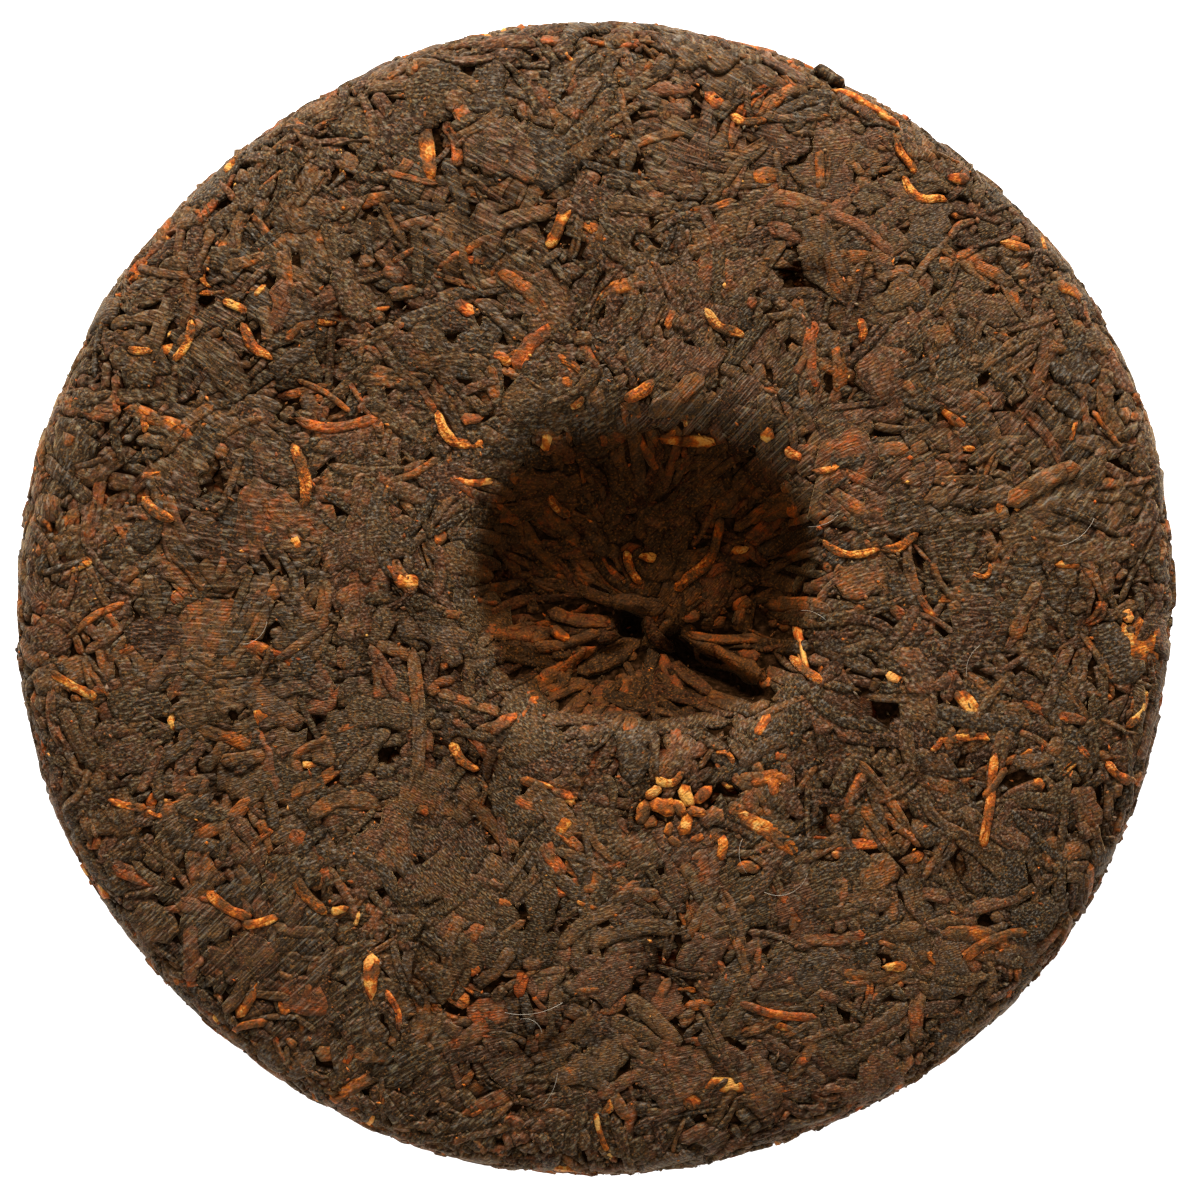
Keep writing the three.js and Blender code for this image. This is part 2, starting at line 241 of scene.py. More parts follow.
# %% [markdown]
# ## A pile of leaves as a height map
# The leaves of a cake lie at random, one over the other, and the press squeezes them flush. The same
# happens here on a height map of each face. Leaves are laid in many thin layers. Each leaf rests on
# what lies under it, and raises the map where it lies. When all are laid, only the order of the
# leaves is kept: every leaf that shows is brought up to the pressed face, and whatever lies under
# another leaf dips below it. So they overlap like real ones, with a thin dark crease at each edge.

# %% The height map
CELL = 0.3
HALF_EXTENT = 120.0
CELLS = int(2 * HALF_EXTENT / CELL)


def cell_of(a, b):
    """The map's cell at a place, as one running number."""
    i = np.clip(((a + HALF_EXTENT) / CELL).astype(np.int32), 0, CELLS - 1)
    j = np.clip(((b + HALF_EXTENT) / CELL).astype(np.int32), 0, CELLS - 1)
    return i * CELLS + j


def read_map(values, a, b):
    """Value of a map at places, blended between the four cells around each."""
    x = np.clip((a + HALF_EXTENT) / CELL - 0.5, 0, CELLS - 1.001)
    y = np.clip((b + HALF_EXTENT) / CELL - 0.5, 0, CELLS - 1.001)
    i, j = x.astype(np.int64), y.astype(np.int64)
    u, v = x - i, y - j
    low = values[i, j] * (1 - v) + values[i, j + 1] * v
    high = values[i + 1, j] * (1 - v) + values[i + 1, j + 1] * v
    return low * (1 - u) + high * u


def blurred(values, reach):
    """The map smoothed by a Gaussian of that reach, as a product of Fourier transforms."""
    frequency = np.fft.fftfreq(CELLS, CELL)
    half = np.fft.rfftfreq(CELLS, CELL)
    damping = np.exp(-2 * (math.pi * reach) ** 2 * (frequency[:, None] ** 2 + half[None, :] ** 2))
    return np.fft.irfft2(np.fft.rfft2(values) * damping, s=values.shape)


print("cells of the height map:", CELLS, "x", CELLS)

# %% [markdown]
# ## One leaf
# Ripe pu erh leaves are rolled into strips 1.5 to 3.5 mm wide, and some open into broad flat pieces
# that take the print of the cloth. Buds are short, plump and golden, stalks are thin and straight.
# All of them are one surface here: a middle line that bends and sways, a width that tapers to its
# ends, two ragged edges, ends that are torn off at a slant, and a flat top with steep sides. What
# differs is only the numbers.

# %% The numbers of each kind of leaf
# Each kind: lengths, widths, thickness, how pointed (2 is a spindle, 12 is a torn-off strip), bend,
# how deep its folds and how ragged its edges are, and its mesh points along and across, on the back
# and on the front. A tone runs from 0, nearly black, over brown and russet, to 1, golden.
KINDS = {
    "rolled": dict(length=(5.5, 19.0), width=(1.3, 3.3), thickness=(0.6, 1.0), point=(4.0, 18.0),
                   bend=0.38, fold=0.45, ragged=0.16, back=(11, 7), front=(8, 6)),
    "broad": dict(length=(7.0, 17.0), width=(4.0, 9.0), thickness=(0.35, 0.6), point=(4.0, 14.0),
                  bend=0.25, fold=0.30, ragged=0.40, back=(13, 9), front=(9, 7)),
    "torn": dict(length=(2.0, 6.0), width=(1.0, 2.8), thickness=(0.5, 0.85), point=(4.0, 16.0),
                 bend=0.35, fold=0.30, ragged=0.40, back=(6, 6), front=(5, 5)),
    "bud": dict(length=(3.5, 8.0), width=(1.0, 1.9), thickness=(0.8, 1.2), point=(2.4, 7.0),
                bend=0.90, fold=0.30, ragged=0.26, back=(11, 7), front=(8, 5)),
    "stalk": dict(length=(7.0, 17.0), width=(0.9, 1.5), thickness=(0.7, 1.0), point=(9.0, 14.0),
                  bend=0.30, fold=0.15, ragged=0.06, back=(12, 6), front=(9, 5)),
}
TONE_SHARES = {  # how far the plain tones reach, and the shares of bright russet and of golden leaves
    "rolled": (0.65, 0.034, 0.003), "broad": (0.52, 0.004, 0.0), "torn": (0.65, 0.060, 0.016),
    "bud": (0.65, 0.50, 0.12), "stalk": (0.65, 0.35, 0.03),
}


def draw_leaves(kind, a, b, heading):
    """Random leaves of one kind at given places: a table of one number each for size, bend and tone."""
    count = len(a)
    sizes = KINDS[kind]
    skewed = rng.beta(1.7, 3.0, count)
    leaves = dict(
        a=a, b=b, heading=heading,
        length=sizes["length"][0] + (sizes["length"][1] - sizes["length"][0]) * skewed,
        width=rng.uniform(*sizes["width"], count) * (0.85 + 0.3 * skewed),
        thickness=rng.uniform(*sizes["thickness"], count),
        point_low=rng.uniform(*sizes["point"], count),
        point_high=rng.uniform(*sizes["point"], count),
        bend=sizes["bend"] * rng.normal(0, 0.55, count),
        sway=sizes["bend"] * rng.normal(0, 0.28, count),
        slant=rng.normal(0, 0.75, count),
        fold=sizes["fold"] * rng.uniform(0.2, 1.3, count),
        fold_at=rng.uniform(-0.5, 0.5, count),
        ragged=np.full(count, sizes["ragged"]),
        phase=rng.uniform(0, 200, count),
        hue=rng.random(count),
        lift=np.zeros(count),
        level=rng.normal(0, 0.06, count),
        tilt=rng.normal(0, 0.08, count),
        pitch=rng.normal(0, 0.06, count),
    )
    reach, share_bright, share_golden = TONE_SHARES[kind]
    dark = 0.07 + (reach - 0.07) * rng.beta(1.5, 2.0, count)
    bright = 0.60 + 0.27 * rng.beta(1.3, 2.0, count)
    golden = rng.uniform(0.86, 1.0, count)
    pick = rng.random(count)
    tone = np.where(pick < share_bright, bright, dark)
    leaves["tone"] = np.where(pick > 1 - share_golden, golden, tone)
    return leaves


def steps_across(across):
    """Places from -1 to 1 across a leaf, as the sine of even steps, so closer together at its edges."""
    return np.sin(np.linspace(-math.pi / 2, math.pi / 2, across))


def leaf_shape(leaves, along, across):
    """Places and unpressed heights of leaves as (leaf, along, across) arrays.
    Middle line: the heading turns by bend*u + sway*sin(pi u), and the steps add up. Width: each half
    tapers as (1 - |u|^point)^0.6, with its own noise on each edge. Torn ends: near |u| = 1 the points
    slide along by slant times their side. Height over the base: (1 - |v|^4)^0.5, less a fold."""
    column = {name: value[:, None] for name, value in leaves.items()}
    deep = {name: value[:, None, None] for name, value in leaves.items()}
    u = np.linspace(-1, 1, along)[None, :]
    v = steps_across(across)[None, None, :]
    head = column["heading"] + column["bend"] * u + column["sway"] * np.sin(math.pi * u)
    step = column["length"] / (along - 1)
    line_a = np.cumsum(np.cos(head) * step, axis=1)
    line_b = np.cumsum(np.sin(head) * step, axis=1)
    line_a += column["a"] - line_a.mean(axis=1, keepdims=True)
    line_b += column["b"] - line_b.mean(axis=1, keepdims=True)
    point = np.where(u < 0, column["point_low"], column["point_high"])
    half = 0.5 * column["width"] * (1 - 0.985 * np.abs(u) ** point) ** 0.6
    run = u * column["length"]
    edges = [1 + column["ragged"] * (soft_noise(run * 0.24 + column["phase"], column["phase"] + row)
                                     + 0.6 * soft_noise(run * 0.55 + column["phase"], row))
             for row in (3.5, 40.5)]
    ragged = np.where(v < 0, edges[0][:, :, None], edges[1][:, :, None])
    side = half[:, :, None] * v * ragged
    slide = deep["slant"] * side * (u**6)[:, :, None]
    cos, sin = np.cos(head)[:, :, None], np.sin(head)[:, :, None]
    a = line_a[:, :, None] - sin * side + cos * slide
    b = line_b[:, :, None] + cos * side + sin * slide
    crown = (1 - np.abs(v) ** 4 * 0.9999) ** 0.5
    wander = column["fold_at"] + 0.3 * soft_noise(u * 1.7 + column["phase"], column["phase"] + 9)
    groove = np.exp(-(((v - wander[:, :, None]) / 0.2) ** 2))
    wrinkle = soft_noise(run[:, :, None] * 0.35 + deep["phase"], v * deep["width"] * 1.2 + deep["phase"])
    rise = crown * (1 - deep["fold"] * groove) + 0.16 * wrinkle * crown
    end = (1 - 0.9 * np.abs(u) ** 7) ** 0.5
    rise = rise * deep["thickness"] * end[:, :, None]
    return a, b, rise


print("kinds of leaf:", ", ".join(KINDS))

# %% [markdown]
# ## Laying the leaves
# A leaf takes the mean height of what lies under its middle line, smoothed along the leaf because a
# leaf is stiff, and sinks in a little. Its edges tuck down onto what lies beneath them. Places are
# spread by the golden angle with a jitter, so that no patch of the cake stays bare. Leaves lie in
# bundles that run the same way for a centimetre or two. Near the rim most lie along it, because the
# bag squeezes them that way, and in the hollow they are drawn towards the knot.

# %% Lay one batch of leaves on a map
SINK = 0.42
TUCK = 0.12
SAMPLES_ALONG = 60
CREASE_BARE = 2.6  # no loose leaf reaches into a crease that is deeper than this
MOST_BRIDGED = 0.4  # the middle of a leaf may lie this much lower than its edges


def between(values, along, across):
    """Fine samples between the mesh points of leaves, blended in both directions."""
    t = np.linspace(0, values.shape[1] - 1.001, along)
    s = np.linspace(0, values.shape[2] - 1.001, across)
    i, j = t.astype(int), s.astype(int)
    t, s = (t - i)[None, :, None], (s - j)[None, None, :]
    rows = values[:, i, :] * (1 - t) + values[:, i + 1, :] * t
    return rows[:, :, j] * (1 - s) + rows[:, :, j + 1] * s


def lay(pile, leaves, kind, placed=False):
    """Adds leaves to the pile, but for loose ones that would hang into a deep crease, or whose edges
    would bridge the foot of a wall. The mesh heights are base + rise. Fine samples raise the map, and
    each cell remembers the leaf on its top."""
    along, across = KINDS[kind][pile["face"]]
    a, b, rise = leaf_shape(leaves, along, across)
    if pile["face"] == "back" and not placed:
        x, y, z = np.moveaxis(cake_point("back", a, b), -1, 0)
        crease = crease_depth(x, y)
        z = z - crease
        bridged = 0.5 * (z[:, :, 0] + z[:, :, -1]) - z[:, :, across // 2]
        clear = (crease.max(axis=(1, 2)) < CREASE_BARE) & (bridged.max(axis=1) < MOST_BRIDGED)
        a, b, rise = a[clear], b[clear], rise[clear]
        leaves = {name: value[clear] for name, value in leaves.items()}
    under = read_map(pile["height"], a, b)
    middle = under[:, :, across // 4:-(across // 4)]
    base = 0.6 * middle.mean(axis=2) + 0.4 * middle.max(axis=2)
    for _ in range(4):
        padded = np.pad(base, ((0, 0), (1, 1)), mode="edge")
        base = 0.25 * padded[:, :-2] + 0.5 * padded[:, 1:-1] + 0.25 * padded[:, 2:]
    thickness = leaves["thickness"][:, None]
    base = base - SINK * thickness + leaves["lift"][:, None]
    height = base[:, :, None] + rise
    edge = np.maximum(under - TUCK, (base - 0.7 * thickness)[:, :, None])
    height[:, :, [0, -1]] = np.minimum(height, edge)[:, :, [0, -1]]
    height[:, [0, -1], :] = np.minimum(height, edge + 0.25 * rise)[:, [0, -1], :]

    samples_across = 40 if kind == "broad" else 16
    cells = cell_of(between(a, SAMPLES_ALONG, samples_across), between(b, SAMPLES_ALONG, samples_across))
    tops = between(height, SAMPLES_ALONG, samples_across)
    cells, tops = cells.reshape(len(a), -1), tops.reshape(len(a), -1)
    numbers = np.arange(len(a)) + pile["laid"]
    flat = pile["height"].reshape(-1)
    np.maximum.at(flat, cells.ravel(), tops.ravel())
    on_top = tops >= flat[cells] - 1e-6
    owners = np.broadcast_to(numbers[:, None], cells.shape)
    pile["owner"].reshape(-1)[cells[on_top]] = owners[on_top]
    pile["batches"].append(dict(kind=kind, numbers=numbers, a=a, b=b, height=height, cells=cells, tops=tops,
                                share=rise / leaves["thickness"][:, None, None], leaves=leaves,
                                placed=placed))
    pile["laid"] += len(a)


def bare_map():
    """The map before any leaf: slow random swells, in mm."""
    axis = (np.arange(CELLS) + 0.5) * CELL - HALF_EXTENT
    a, b = np.meshgrid(axis, axis, indexing="ij")
    return 0.5 * soft_noise(a / 6, b / 6) + 0.3 * soft_noise(a / 2.5 + 50, b / 2.5)


# %% Where the leaves lie, and which way they run
LAYERS = 44
LAYER_MIX = {"broad": 31, "rolled": 86, "torn": 58, "stalk": 2, "bud": 4}
PAST_RIM = 3.5
SHARE_IN_BUNDLES = 0.55
SHARE_ALONG_RIM = 0.65
SHARE_TO_KNOT = 0.75
# The rim's leaves are painted lighter by this much: a painted glow of the lit table.
RIM_GLOW_TONE = 0.14  # how much lighter the leaves at the rim are
SHADED_TONES = (0.12, 0.52)  # the range of tones deep in the hollow


def scatter(count, reach, jitter):
    """Places spread over a disc: radius reach*sqrt(i/n), turned by the golden angle each time."""
    i = np.arange(count) + 0.5
    distance = reach * np.sqrt(i / count)
    angle = i * math.pi * (3 - math.sqrt(5)) + rng.uniform(0, 2 * math.pi)
    a = distance * np.cos(angle) + rng.normal(0, jitter, count)
    b = distance * np.sin(angle) + rng.normal(0, jitter, count)
    return a, b


def headings(face, a, b):
    """Half of the directions follow a slow noise, and the others are random. Towards the rim more and
    more run along it. In the hollow most point to the knot, with the Y part of that direction halved."""
    count = len(a)
    flow = 1.3 * math.pi * soft_noise(a / 17 + 5, b / 17 + (30 if face == "front" else 0))
    turn = np.where(rng.random(count) < SHARE_IN_BUNDLES, flow + rng.normal(0, 0.4, count),
                    rng.uniform(0, 2 * math.pi, count))
    along_rim = np.arctan2(b, a) + math.pi / 2 + rng.normal(0, 0.45, count)
    near_rim = SHARE_ALONG_RIM * ease((np.hypot(a, b) / REACH[face] - 0.82) / 0.16)
    turn = np.where(rng.random(count) < near_rim, along_rim, turn)
    if face == "back":
        to_knot = np.arctan2(0.5 * (KNOT[1] - b), KNOT[0] - a) + rng.normal(0, 0.35, count)
        drawn = SHARE_TO_KNOT * ease(1.7 - np.hypot(a - HOLLOW_MIDDLE[0], b - HOLLOW_MIDDLE[1]) / 27)
        turn = np.where(rng.random(count) < drawn, to_knot, turn)
    return turn


def shade_in_hollow(face, a, b):
    """1 deep in the hollow, where the leaves are duller and painted darker as painted shade, and 0 on the
    pressed face. It starts nearer to the top on the far wall, which no light reaches."""
    if face == "front":
        return np.zeros_like(a)
    far = ease((b - HOLLOW_MIDDLE[1]) / 20 + 0.5)
    return ease((2.5 + 0.8 * far) * hollow_depth(a, b) / HOLLOW_DEPTH - 0.25)


def lay_face(face, layers):
    """Lays layer after layer over one face and a little past its rim, where tones are painted lighter as a
    painted glow of the lit table.
    """
    pile = dict(face=face, height=bare_map(), owner=np.full((CELLS, CELLS), -1), batches=[], laid=0)
    reach = REACH[face] + PAST_RIM
    for _ in range(layers):
        for kind, count in LAYER_MIX.items():
            a, b = scatter(count, reach, 3.0)
            leaves = draw_leaves(kind, a, b, headings(face, a, b))
            inside = shade_in_hollow(face, a, b)
            # Leaves near the rim are painted lighter: a painted glow of the lit table below.
            rim_glow = ease(1 - np.abs(np.hypot(a, b) - REACH[face]) / 4)
            darkest, lightest = SHADED_TONES[0] * inside, 1 - (1 - SHADED_TONES[1]) * inside
            leaves["tone"] = np.clip(leaves["tone"] + RIM_GLOW_TONE * rim_glow, darkest, lightest)
            lay(pile, leaves, kind)
    print(face, "leaves laid:", pile["laid"], "seconds so far:", round(time.time() - started, 1))
    return pile


PILES = {face: lay_face(face, LAYERS) for face in ("back", "front")}

# %% [markdown]
# ## The leaves that stand out
# Some leaves catch the eye: golden curled buds, orange strips, a long stalk, a lifted leaf. They are
# laid last, one by one, each at its own place. A place is where the eye sees it from above, so it is
# first carried back along the line of sight, and then measured out along the surface.

# %% Camera values that the places need
PHOTO_WIDTH = 1200
MM_PER_PIXEL = 195.5 / 1155
CAKE_MIDDLE = (595, 597)  # pixels
LENS = 100.0
SENSOR = 36.0
CAMERA_ABOVE_RIM = PHOTO_WIDTH * MM_PER_PIXEL * LENS / SENSOR


def seen_at(x, y):
    """Lengths a and b of the place that is seen at x and y: (x, y) shrinks by the height of the surface
    over the rim, and its radius is turned into a distance along the outline."""
    x, y = np.array(x, float), np.array(y, float)
    radius = np.hypot(x, y)
    height = np.interp(radius, OUTLINE_RADIUS[:RIM_INDEX], OUTLINE_HEIGHT[:RIM_INDEX])
    nearer = 1 - (height - hollow_depth(x, y) - RIM_HEIGHT) / CAMERA_ABOVE_RIM
    along = np.interp(radius * nearer, OUTLINE_RADIUS[:RIM_INDEX], OUTLINE_ALONG[:RIM_INDEX])
    return x * along / radius, y * along / radius


# %% Their places
# Kind, x and y in mm, direction in degrees, length, width, bend, sway, tone and lift.
PLACED_LEAVES = (
    # long leaves and stalks
    ("stalk", -30.1, -19.8, 92, 22.5, 2.5, 0.05, 0.05, 0.47, 0.35),
    ("rolled", 75.5, 19.1, 28, 14.0, 3.4, -0.2, 0.0, 0.50, 0.9),
    ("rolled", -43.7, 29.5, 0, 15.0, 2.0, 0.35, 0.1, 0.62, 0.3),
    ("stalk", 66.6, -34.5, 82, 16.5, 1.8, -0.1, 0.1, 0.74, 0.4),
    ("stalk", 67.6, -31.4, 52, 6.5, 1.4, 0.1, 0.0, 0.76, 0.3),
    ("stalk", 30.9, -70.3, -12, 14.0, 1.7, 0.1, 0.1, 0.64, 0.4),
    ("rolled", 67.1, -58.1, 25, 13.0, 1.9, -0.45, 0.0, 0.67, 0.3),
    ("stalk", 38.3, 72.8, 91, 7.2, 1.8, 0.0, 0.0, 0.68, 0.3),
    ("rolled", -3.4, 34.7, 35, 12.5, 2.6, 0.1, 0.3, 0.30, 0.7),
    ("broad", 13.9, 33.9, 34, 11.5, 3.2, 0.15, 0.0, 0.50, 0.4),
    # orange strips and buds
    ("bud", -49.8, 20.5, 98, 12.0, 2.5, 0.3, 0.1, 0.80, 0.4),
    ("bud", -22.3, -27.3, -50, 7.2, 1.9, 0.6, 0.0, 0.82, 0.4),
    ("bud", -57.9, 43.2, -50, 8.8, 2.0, 0.2, 0.2, 0.77, 0.3),
    ("bud", 52.7, 75.8, -65, 9.0, 1.5, -0.3, 0.4, 0.86, 0.3),
    ("bud", 55.8, 68.9, -30, 10.5, 1.8, 0.1, 0.6, 0.83, 0.3),
    ("bud", 21.8, 46.1, -36, 8.8, 2.1, 0.1, 0.3, 0.78, 0.3),
    ("bud", 26.2, 81.3, -8, 7.0, 1.7, 0.4, 0.2, 0.76, 0.3),
    ("torn", 71.6, 59.4, -12, 6.2, 1.8, 0.2, 0.0, 0.75, 0.2),
    ("rolled", -62.0, -52.5, -32, 9.5, 1.9, 0.2, 0.1, 0.76, 0.3),
    ("rolled", -56.5, -55.0, 15, 6.5, 1.6, 0.1, 0.1, 0.79, 0.3),
    ("bud", -48.3, -50.8, -52, 8.6, 2.2, 0.2, 0.1, 0.82, 0.3),
    ("bud", -74.2, 14.7, -35, 7.0, 2.0, 0.3, 0.1, 0.69, 0.3),
    ("bud", 88.9, -30.0, -35, 7.6, 1.9, 0.2, 0.2, 0.68, 0.3),
    ("bud", -25.2, 28.3, -62, 7.4, 1.8, 0.35, 0.1, 0.81, 0.4),
    ("bud", 7.6, 34.9, 33, 6.2, 2.0, 0.2, 0.1, 0.78, 0.5),
    ("torn", 34.8, 39.5, 60, 4.2, 1.5, 0.1, 0.1, 0.74, 0.2),
    ("bud", -3.0, 33.0, 40, 3.2, 1.5, 0.3, 0.0, 0.80, 0.4),
    ("torn", -20.8, 30.3, 5, 4.0, 1.9, 0.1, 0.0, 0.76, 0.3),
    ("torn", 39.1, 21.7, 6, 5.0, 1.2, 0.3, 0.0, 0.74, 0.2),
    ("bud", 33.5, 24.2, -35, 3.4, 1.6, 0.2, 0.0, 0.76, 0.3),
    ("torn", 12.3, 27.2, 25, 3.4, 1.3, 0.2, 0.1, 0.79, 0.2),
    # golden ones
    ("bud", -69.8, 43.5, 62, 8.6, 1.7, 0.5, 0.1, 0.90, 0.3),
    ("bud", -61.3, 49.6, 152, 4.8, 1.5, 0.3, 0.0, 0.92, 0.3),
    ("torn", 61.7, 71.3, -6, 4.4, 1.6, 0.0, 0.0, 0.97, 0.3),
    ("rolled", 46.7, 83.7, -30, 14.0, 1.5, -0.22, 0.0, 0.93, 0.4),
    ("bud", 92.0, -19.1, 58, 8.2, 1.7, 0.7, 0.0, 0.92, 0.3),
    ("torn", 50.5, -62.3, 5, 4.4, 1.8, 0.0, 0.0, 0.95, 0.3),
    ("torn", -37.9, -64.2, 91, 8.4, 2.7, 0.05, 0.0, 0.90, 0.4),
    ("torn", -43.3, -53.0, 12, 3.4, 1.5, 0.1, 0.0, 0.92, 0.2),
    ("torn", -40.4, -54.6, 70, 3.0, 1.2, 0.1, 0.0, 0.95, 0.2),
    ("bud", 43.2, 8.0, -11, 11.5, 1.5, 0.25, 0.3, 0.90, 0.3),
    ("bud", 51.6, 9.0, 20, 7.5, 1.7, 0.3, 0.2, 0.80, 0.3),
    # the clump of curled golden buds
    ("torn", 19.7, -37.2, 30, 4.4, 3.4, 0.2, 0.0, 0.56, 0.5),
    ("torn", 21.6, -42.6, 80, 4.6, 2.2, 0.1, 0.0, 0.72, 0.4),
    ("torn", 15.2, -38.2, 74, 4.6, 2.2, 0.1, 0.1, 0.79, 0.5),
    ("torn", 13.6, -41.4, -36, 3.2, 1.3, 0.2, 0.0, 0.76, 0.3),
    ("torn", 17.4, -40.8, 22, 2.8, 1.5, 0.1, 0.0, 0.78, 0.4),
    ("torn", 9.3, -38.0, 12, 2.8, 1.6, 0.1, 0.0, 0.78, 0.4),
    ("torn", 12.6, -39.3, 70, 2.6, 1.3, 0.1, 0.0, 0.76, 0.4),
    ("bud", 12.8, -30.8, 10, 6.0, 1.5, 1.2, 0.0, 0.80, 0.4),
    ("torn", 15.7, -33.6, -62, 4.2, 2.4, 0.2, 0.0, 0.88, 0.7),
    ("torn", 8.1, -36.5, 72, 4.6, 2.2, 0.2, 0.0, 0.80, 0.5),
    ("torn", 11.6, -35.3, -10, 5.0, 2.6, 0.2, 0.1, 0.86, 0.6),
    ("torn", 10.0, -33.2, 40, 3.4, 1.8, 0.1, 0.0, 0.77, 0.5),
    ("torn", 14.2, -35.8, 110, 3.2, 1.9, 0.1, 0.0, 0.79, 0.6),
    ("torn", 17.2, -36.4, -10, 3.6, 1.8, 0.1, 0.0, 0.71, 0.4),
    ("torn", 18.3, -33.5, 43, 4.2, 2.1, 0.1, 0.0, 0.84, 0.5),
    # ridges and bits round the knot, and what shows in the shade of the hollow
    ("broad", 22.8, -11.2, -24, 13.0, 3.4, -0.1, 0.0, 0.40, 0.4),
    ("broad", 7.2, -1.2, -5, 9.5, 3.4, 0.1, 0.0, 0.34, 0.5),
    ("rolled", 10.7, -6.6, -50, 8.5, 2.3, 0.15, 0.2, 0.17, 0.9),
    ("rolled", -2.6, -3.6, -10, 11.5, 2.6, 0.1, 0.1, 0.42, 0.3),
    ("rolled", -4.6, -7.4, 12, 12.0, 2.0, 0.1, 0.1, 0.47, 0.3),
    ("broad", 2.4, -10.2, 28, 12.0, 3.4, 0.1, 0.0, 0.26, 0.5),
    ("rolled", 21.6, -6.8, -3, 13.5, 1.5, 0.1, 0.1, 0.53, 0.3),
    ("torn", -5.9, -6.2, -35, 4.4, 1.6, 0.1, 0.0, 0.80, 0.5),
    ("bud", 6.3, 4.9, -70, 6.6, 1.6, 0.15, 0.1, 0.84, 0.5),
    ("bud", 8.9, 6.8, -10, 3.3, 1.6, 0.2, 0.0, 0.86, 0.5),
    ("bud", 17.2, 4.4, 42, 10.5, 2.1, 0.5, -0.2, 0.80, 0.6),
    ("rolled", 20.7, 10.2, 78, 6.5, 1.7, 0.2, 0.0, 0.70, 0.5),
    ("torn", 24.6, 8.0, 10, 3.2, 1.4, 0.1, 0.0, 0.80, 0.4),
    ("rolled", 15.6, 26.2, -4, 9.8, 1.8, -0.3, 0.2, 0.79, 0.4),
    ("torn", -8.3, 26.1, 78, 3.2, 1.8, 0.1, 0.0, 0.82, 0.4),
    ("bud", -6.1, 15.2, -46, 5.4, 1.7, 0.2, 0.1, 0.76, 0.4),
    ("torn", -15.4, -21.3, 40, 6.2, 2.4, 0.2, 0.0, 0.68, 0.3),
    ("torn", 28.3, -21.7, 55, 4.6, 2.0, 0.2, 0.0, 0.70, 0.3),
    # the near lip of the deep crease
    ("rolled", 16.2, -13.6, -38, 8.5, 2.4, -0.15, 0.1, 0.30, 0.3),
    ("rolled", 22.8, -17.9, -22, 8.5, 2.6, -0.2, 0.1, 0.36, 0.3),
    ("torn", 27.6, -18.6, 20, 4.4, 2.0, 0.1, 0.1, 0.42, 0.3),
    # a dark leaf that sticks out over the rim
    ("rolled", 39.8, 88.3, -36, 6.4, 1.5, 0.1, 0.1, 0.12, 1.4),
)


def lay_placed(pile):
    """Lays the placed leaves one by one, so that each can rest on the one before."""
    for kind, x, y, turn, length, width, bend, sway, tone, lift in PLACED_LEAVES:
        a, b = seen_at([x], [y])
        leaves = draw_leaves(kind, a, b, np.radians([turn]))
        given = dict(length=length, width=width, bend=bend, sway=sway, tone=tone, lift=lift)
        leaves.update({name: np.array([value], float) for name, value in given.items()})
        lay(pile, leaves, kind, placed=True)


lay_placed(PILES["back"])
print("placed leaves:", len(PLACED_LEAVES))

# %% [markdown]
# ## Press the pile
# Leaves of which next to nothing shows are taken out, as no eye can reach them, and the map is raised
# again from those that stay. Pressing then lays every leaf that shows flush with the smooth cake. The
# press reaches neither the rim nor the hollow fully, so leaves are looser there and stand out more.

# %% Settle and press
SEEN_ENOUGH = 1.3  # square mm
PIT_REACH = 3.4
PIT_SHARE = 0.986  # this share of the pressed face has no pit
SHOULDER_DROP = 0.32  # a leaf's edge lies this share of its thickness below its pressed top
DIP = 0.41
LOOSE_RIM = 1.9
LOOSE_HOLLOW = 0.3


def settle(pile):
    """Marks the leaves that show, rebuilds the map from them, and finds its low spots, which are pits:
    places where the map lies well below its own blur."""
    seen = np.bincount(pile["owner"][pile["owner"] >= 0], minlength=pile["laid"]) * CELL**2
    height = bare_map()
    flat = height.reshape(-1)
    for batch in pile["batches"]:
        batch["keep"] = (seen[batch["numbers"]] > SEEN_ENOUGH) | batch["placed"]
        np.maximum.at(flat, batch["cells"][batch["keep"]].ravel(), batch["tops"][batch["keep"]].ravel())
    pile["height"] = height
    low = blurred(height, PIT_REACH) - blurred(height, 0.35)
    middle = slice(CELLS // 5, -CELLS // 5)
    start = np.quantile(low[middle, middle], PIT_SHARE)
    pile["pits"] = 1.3 * ease((low - start) / (0.6 * start))
    kept = sum(int(batch["keep"].sum()) for batch in pile["batches"])
    print(pile["face"], "leaves that show:", kept, "pits start at", round(float(start), 2))


def looseness(face, a, b):
    """1 on the pressed face, and more towards the rim and in the hollow."""
    loose = 1 + LOOSE_RIM * ease((np.hypot(a, b) / REACH[face] - 0.80) / 0.18)
    if face == "back":
        loose = loose + LOOSE_HOLLOW * ease(2 * hollow_depth(a, b) / HOLLOW_DEPTH)
    return loose


def press(pile, batch):
    """Height of leaf points over the smooth cake. Each leaf adds its level, its tilt and its own cross
    section to a slow swell. Under another leaf it dips by DIP * (1 - exp(-hidden / 0.2))."""
    keep = batch["keep"]
    a, b, height = batch["a"][keep], batch["b"][keep], batch["height"][keep]
    leaf = {name: value[keep][:, None, None] for name, value in batch["leaves"].items()}
    along, across = a.shape[1:]
    u = np.linspace(-1, 1, along)[None, :, None]
    v = steps_across(across)[None, None, :]
    hidden = np.maximum(read_map(pile["height"], a, b) - height - 0.04, 0)
    own = SHOULDER_DROP * leaf["thickness"] * (batch["share"][keep] - 1)
    level = leaf["level"] + 0.5 * leaf["lift"] + leaf["tilt"] * v + leaf["pitch"] * u
    own = np.where(leaf["lift"] > 0, 1.6 * own, own)
    dip = DIP * (1 - np.exp(-hidden / 0.2)) + 0.02 * np.minimum(hidden, 6)
    return swell(a, b) + (level + own - dip) * looseness(pile["face"], a, b) - read_map(pile["pits"], a, b)


for pile in PILES.values():
    settle(pile)

# %% Put grids of points into one mesh


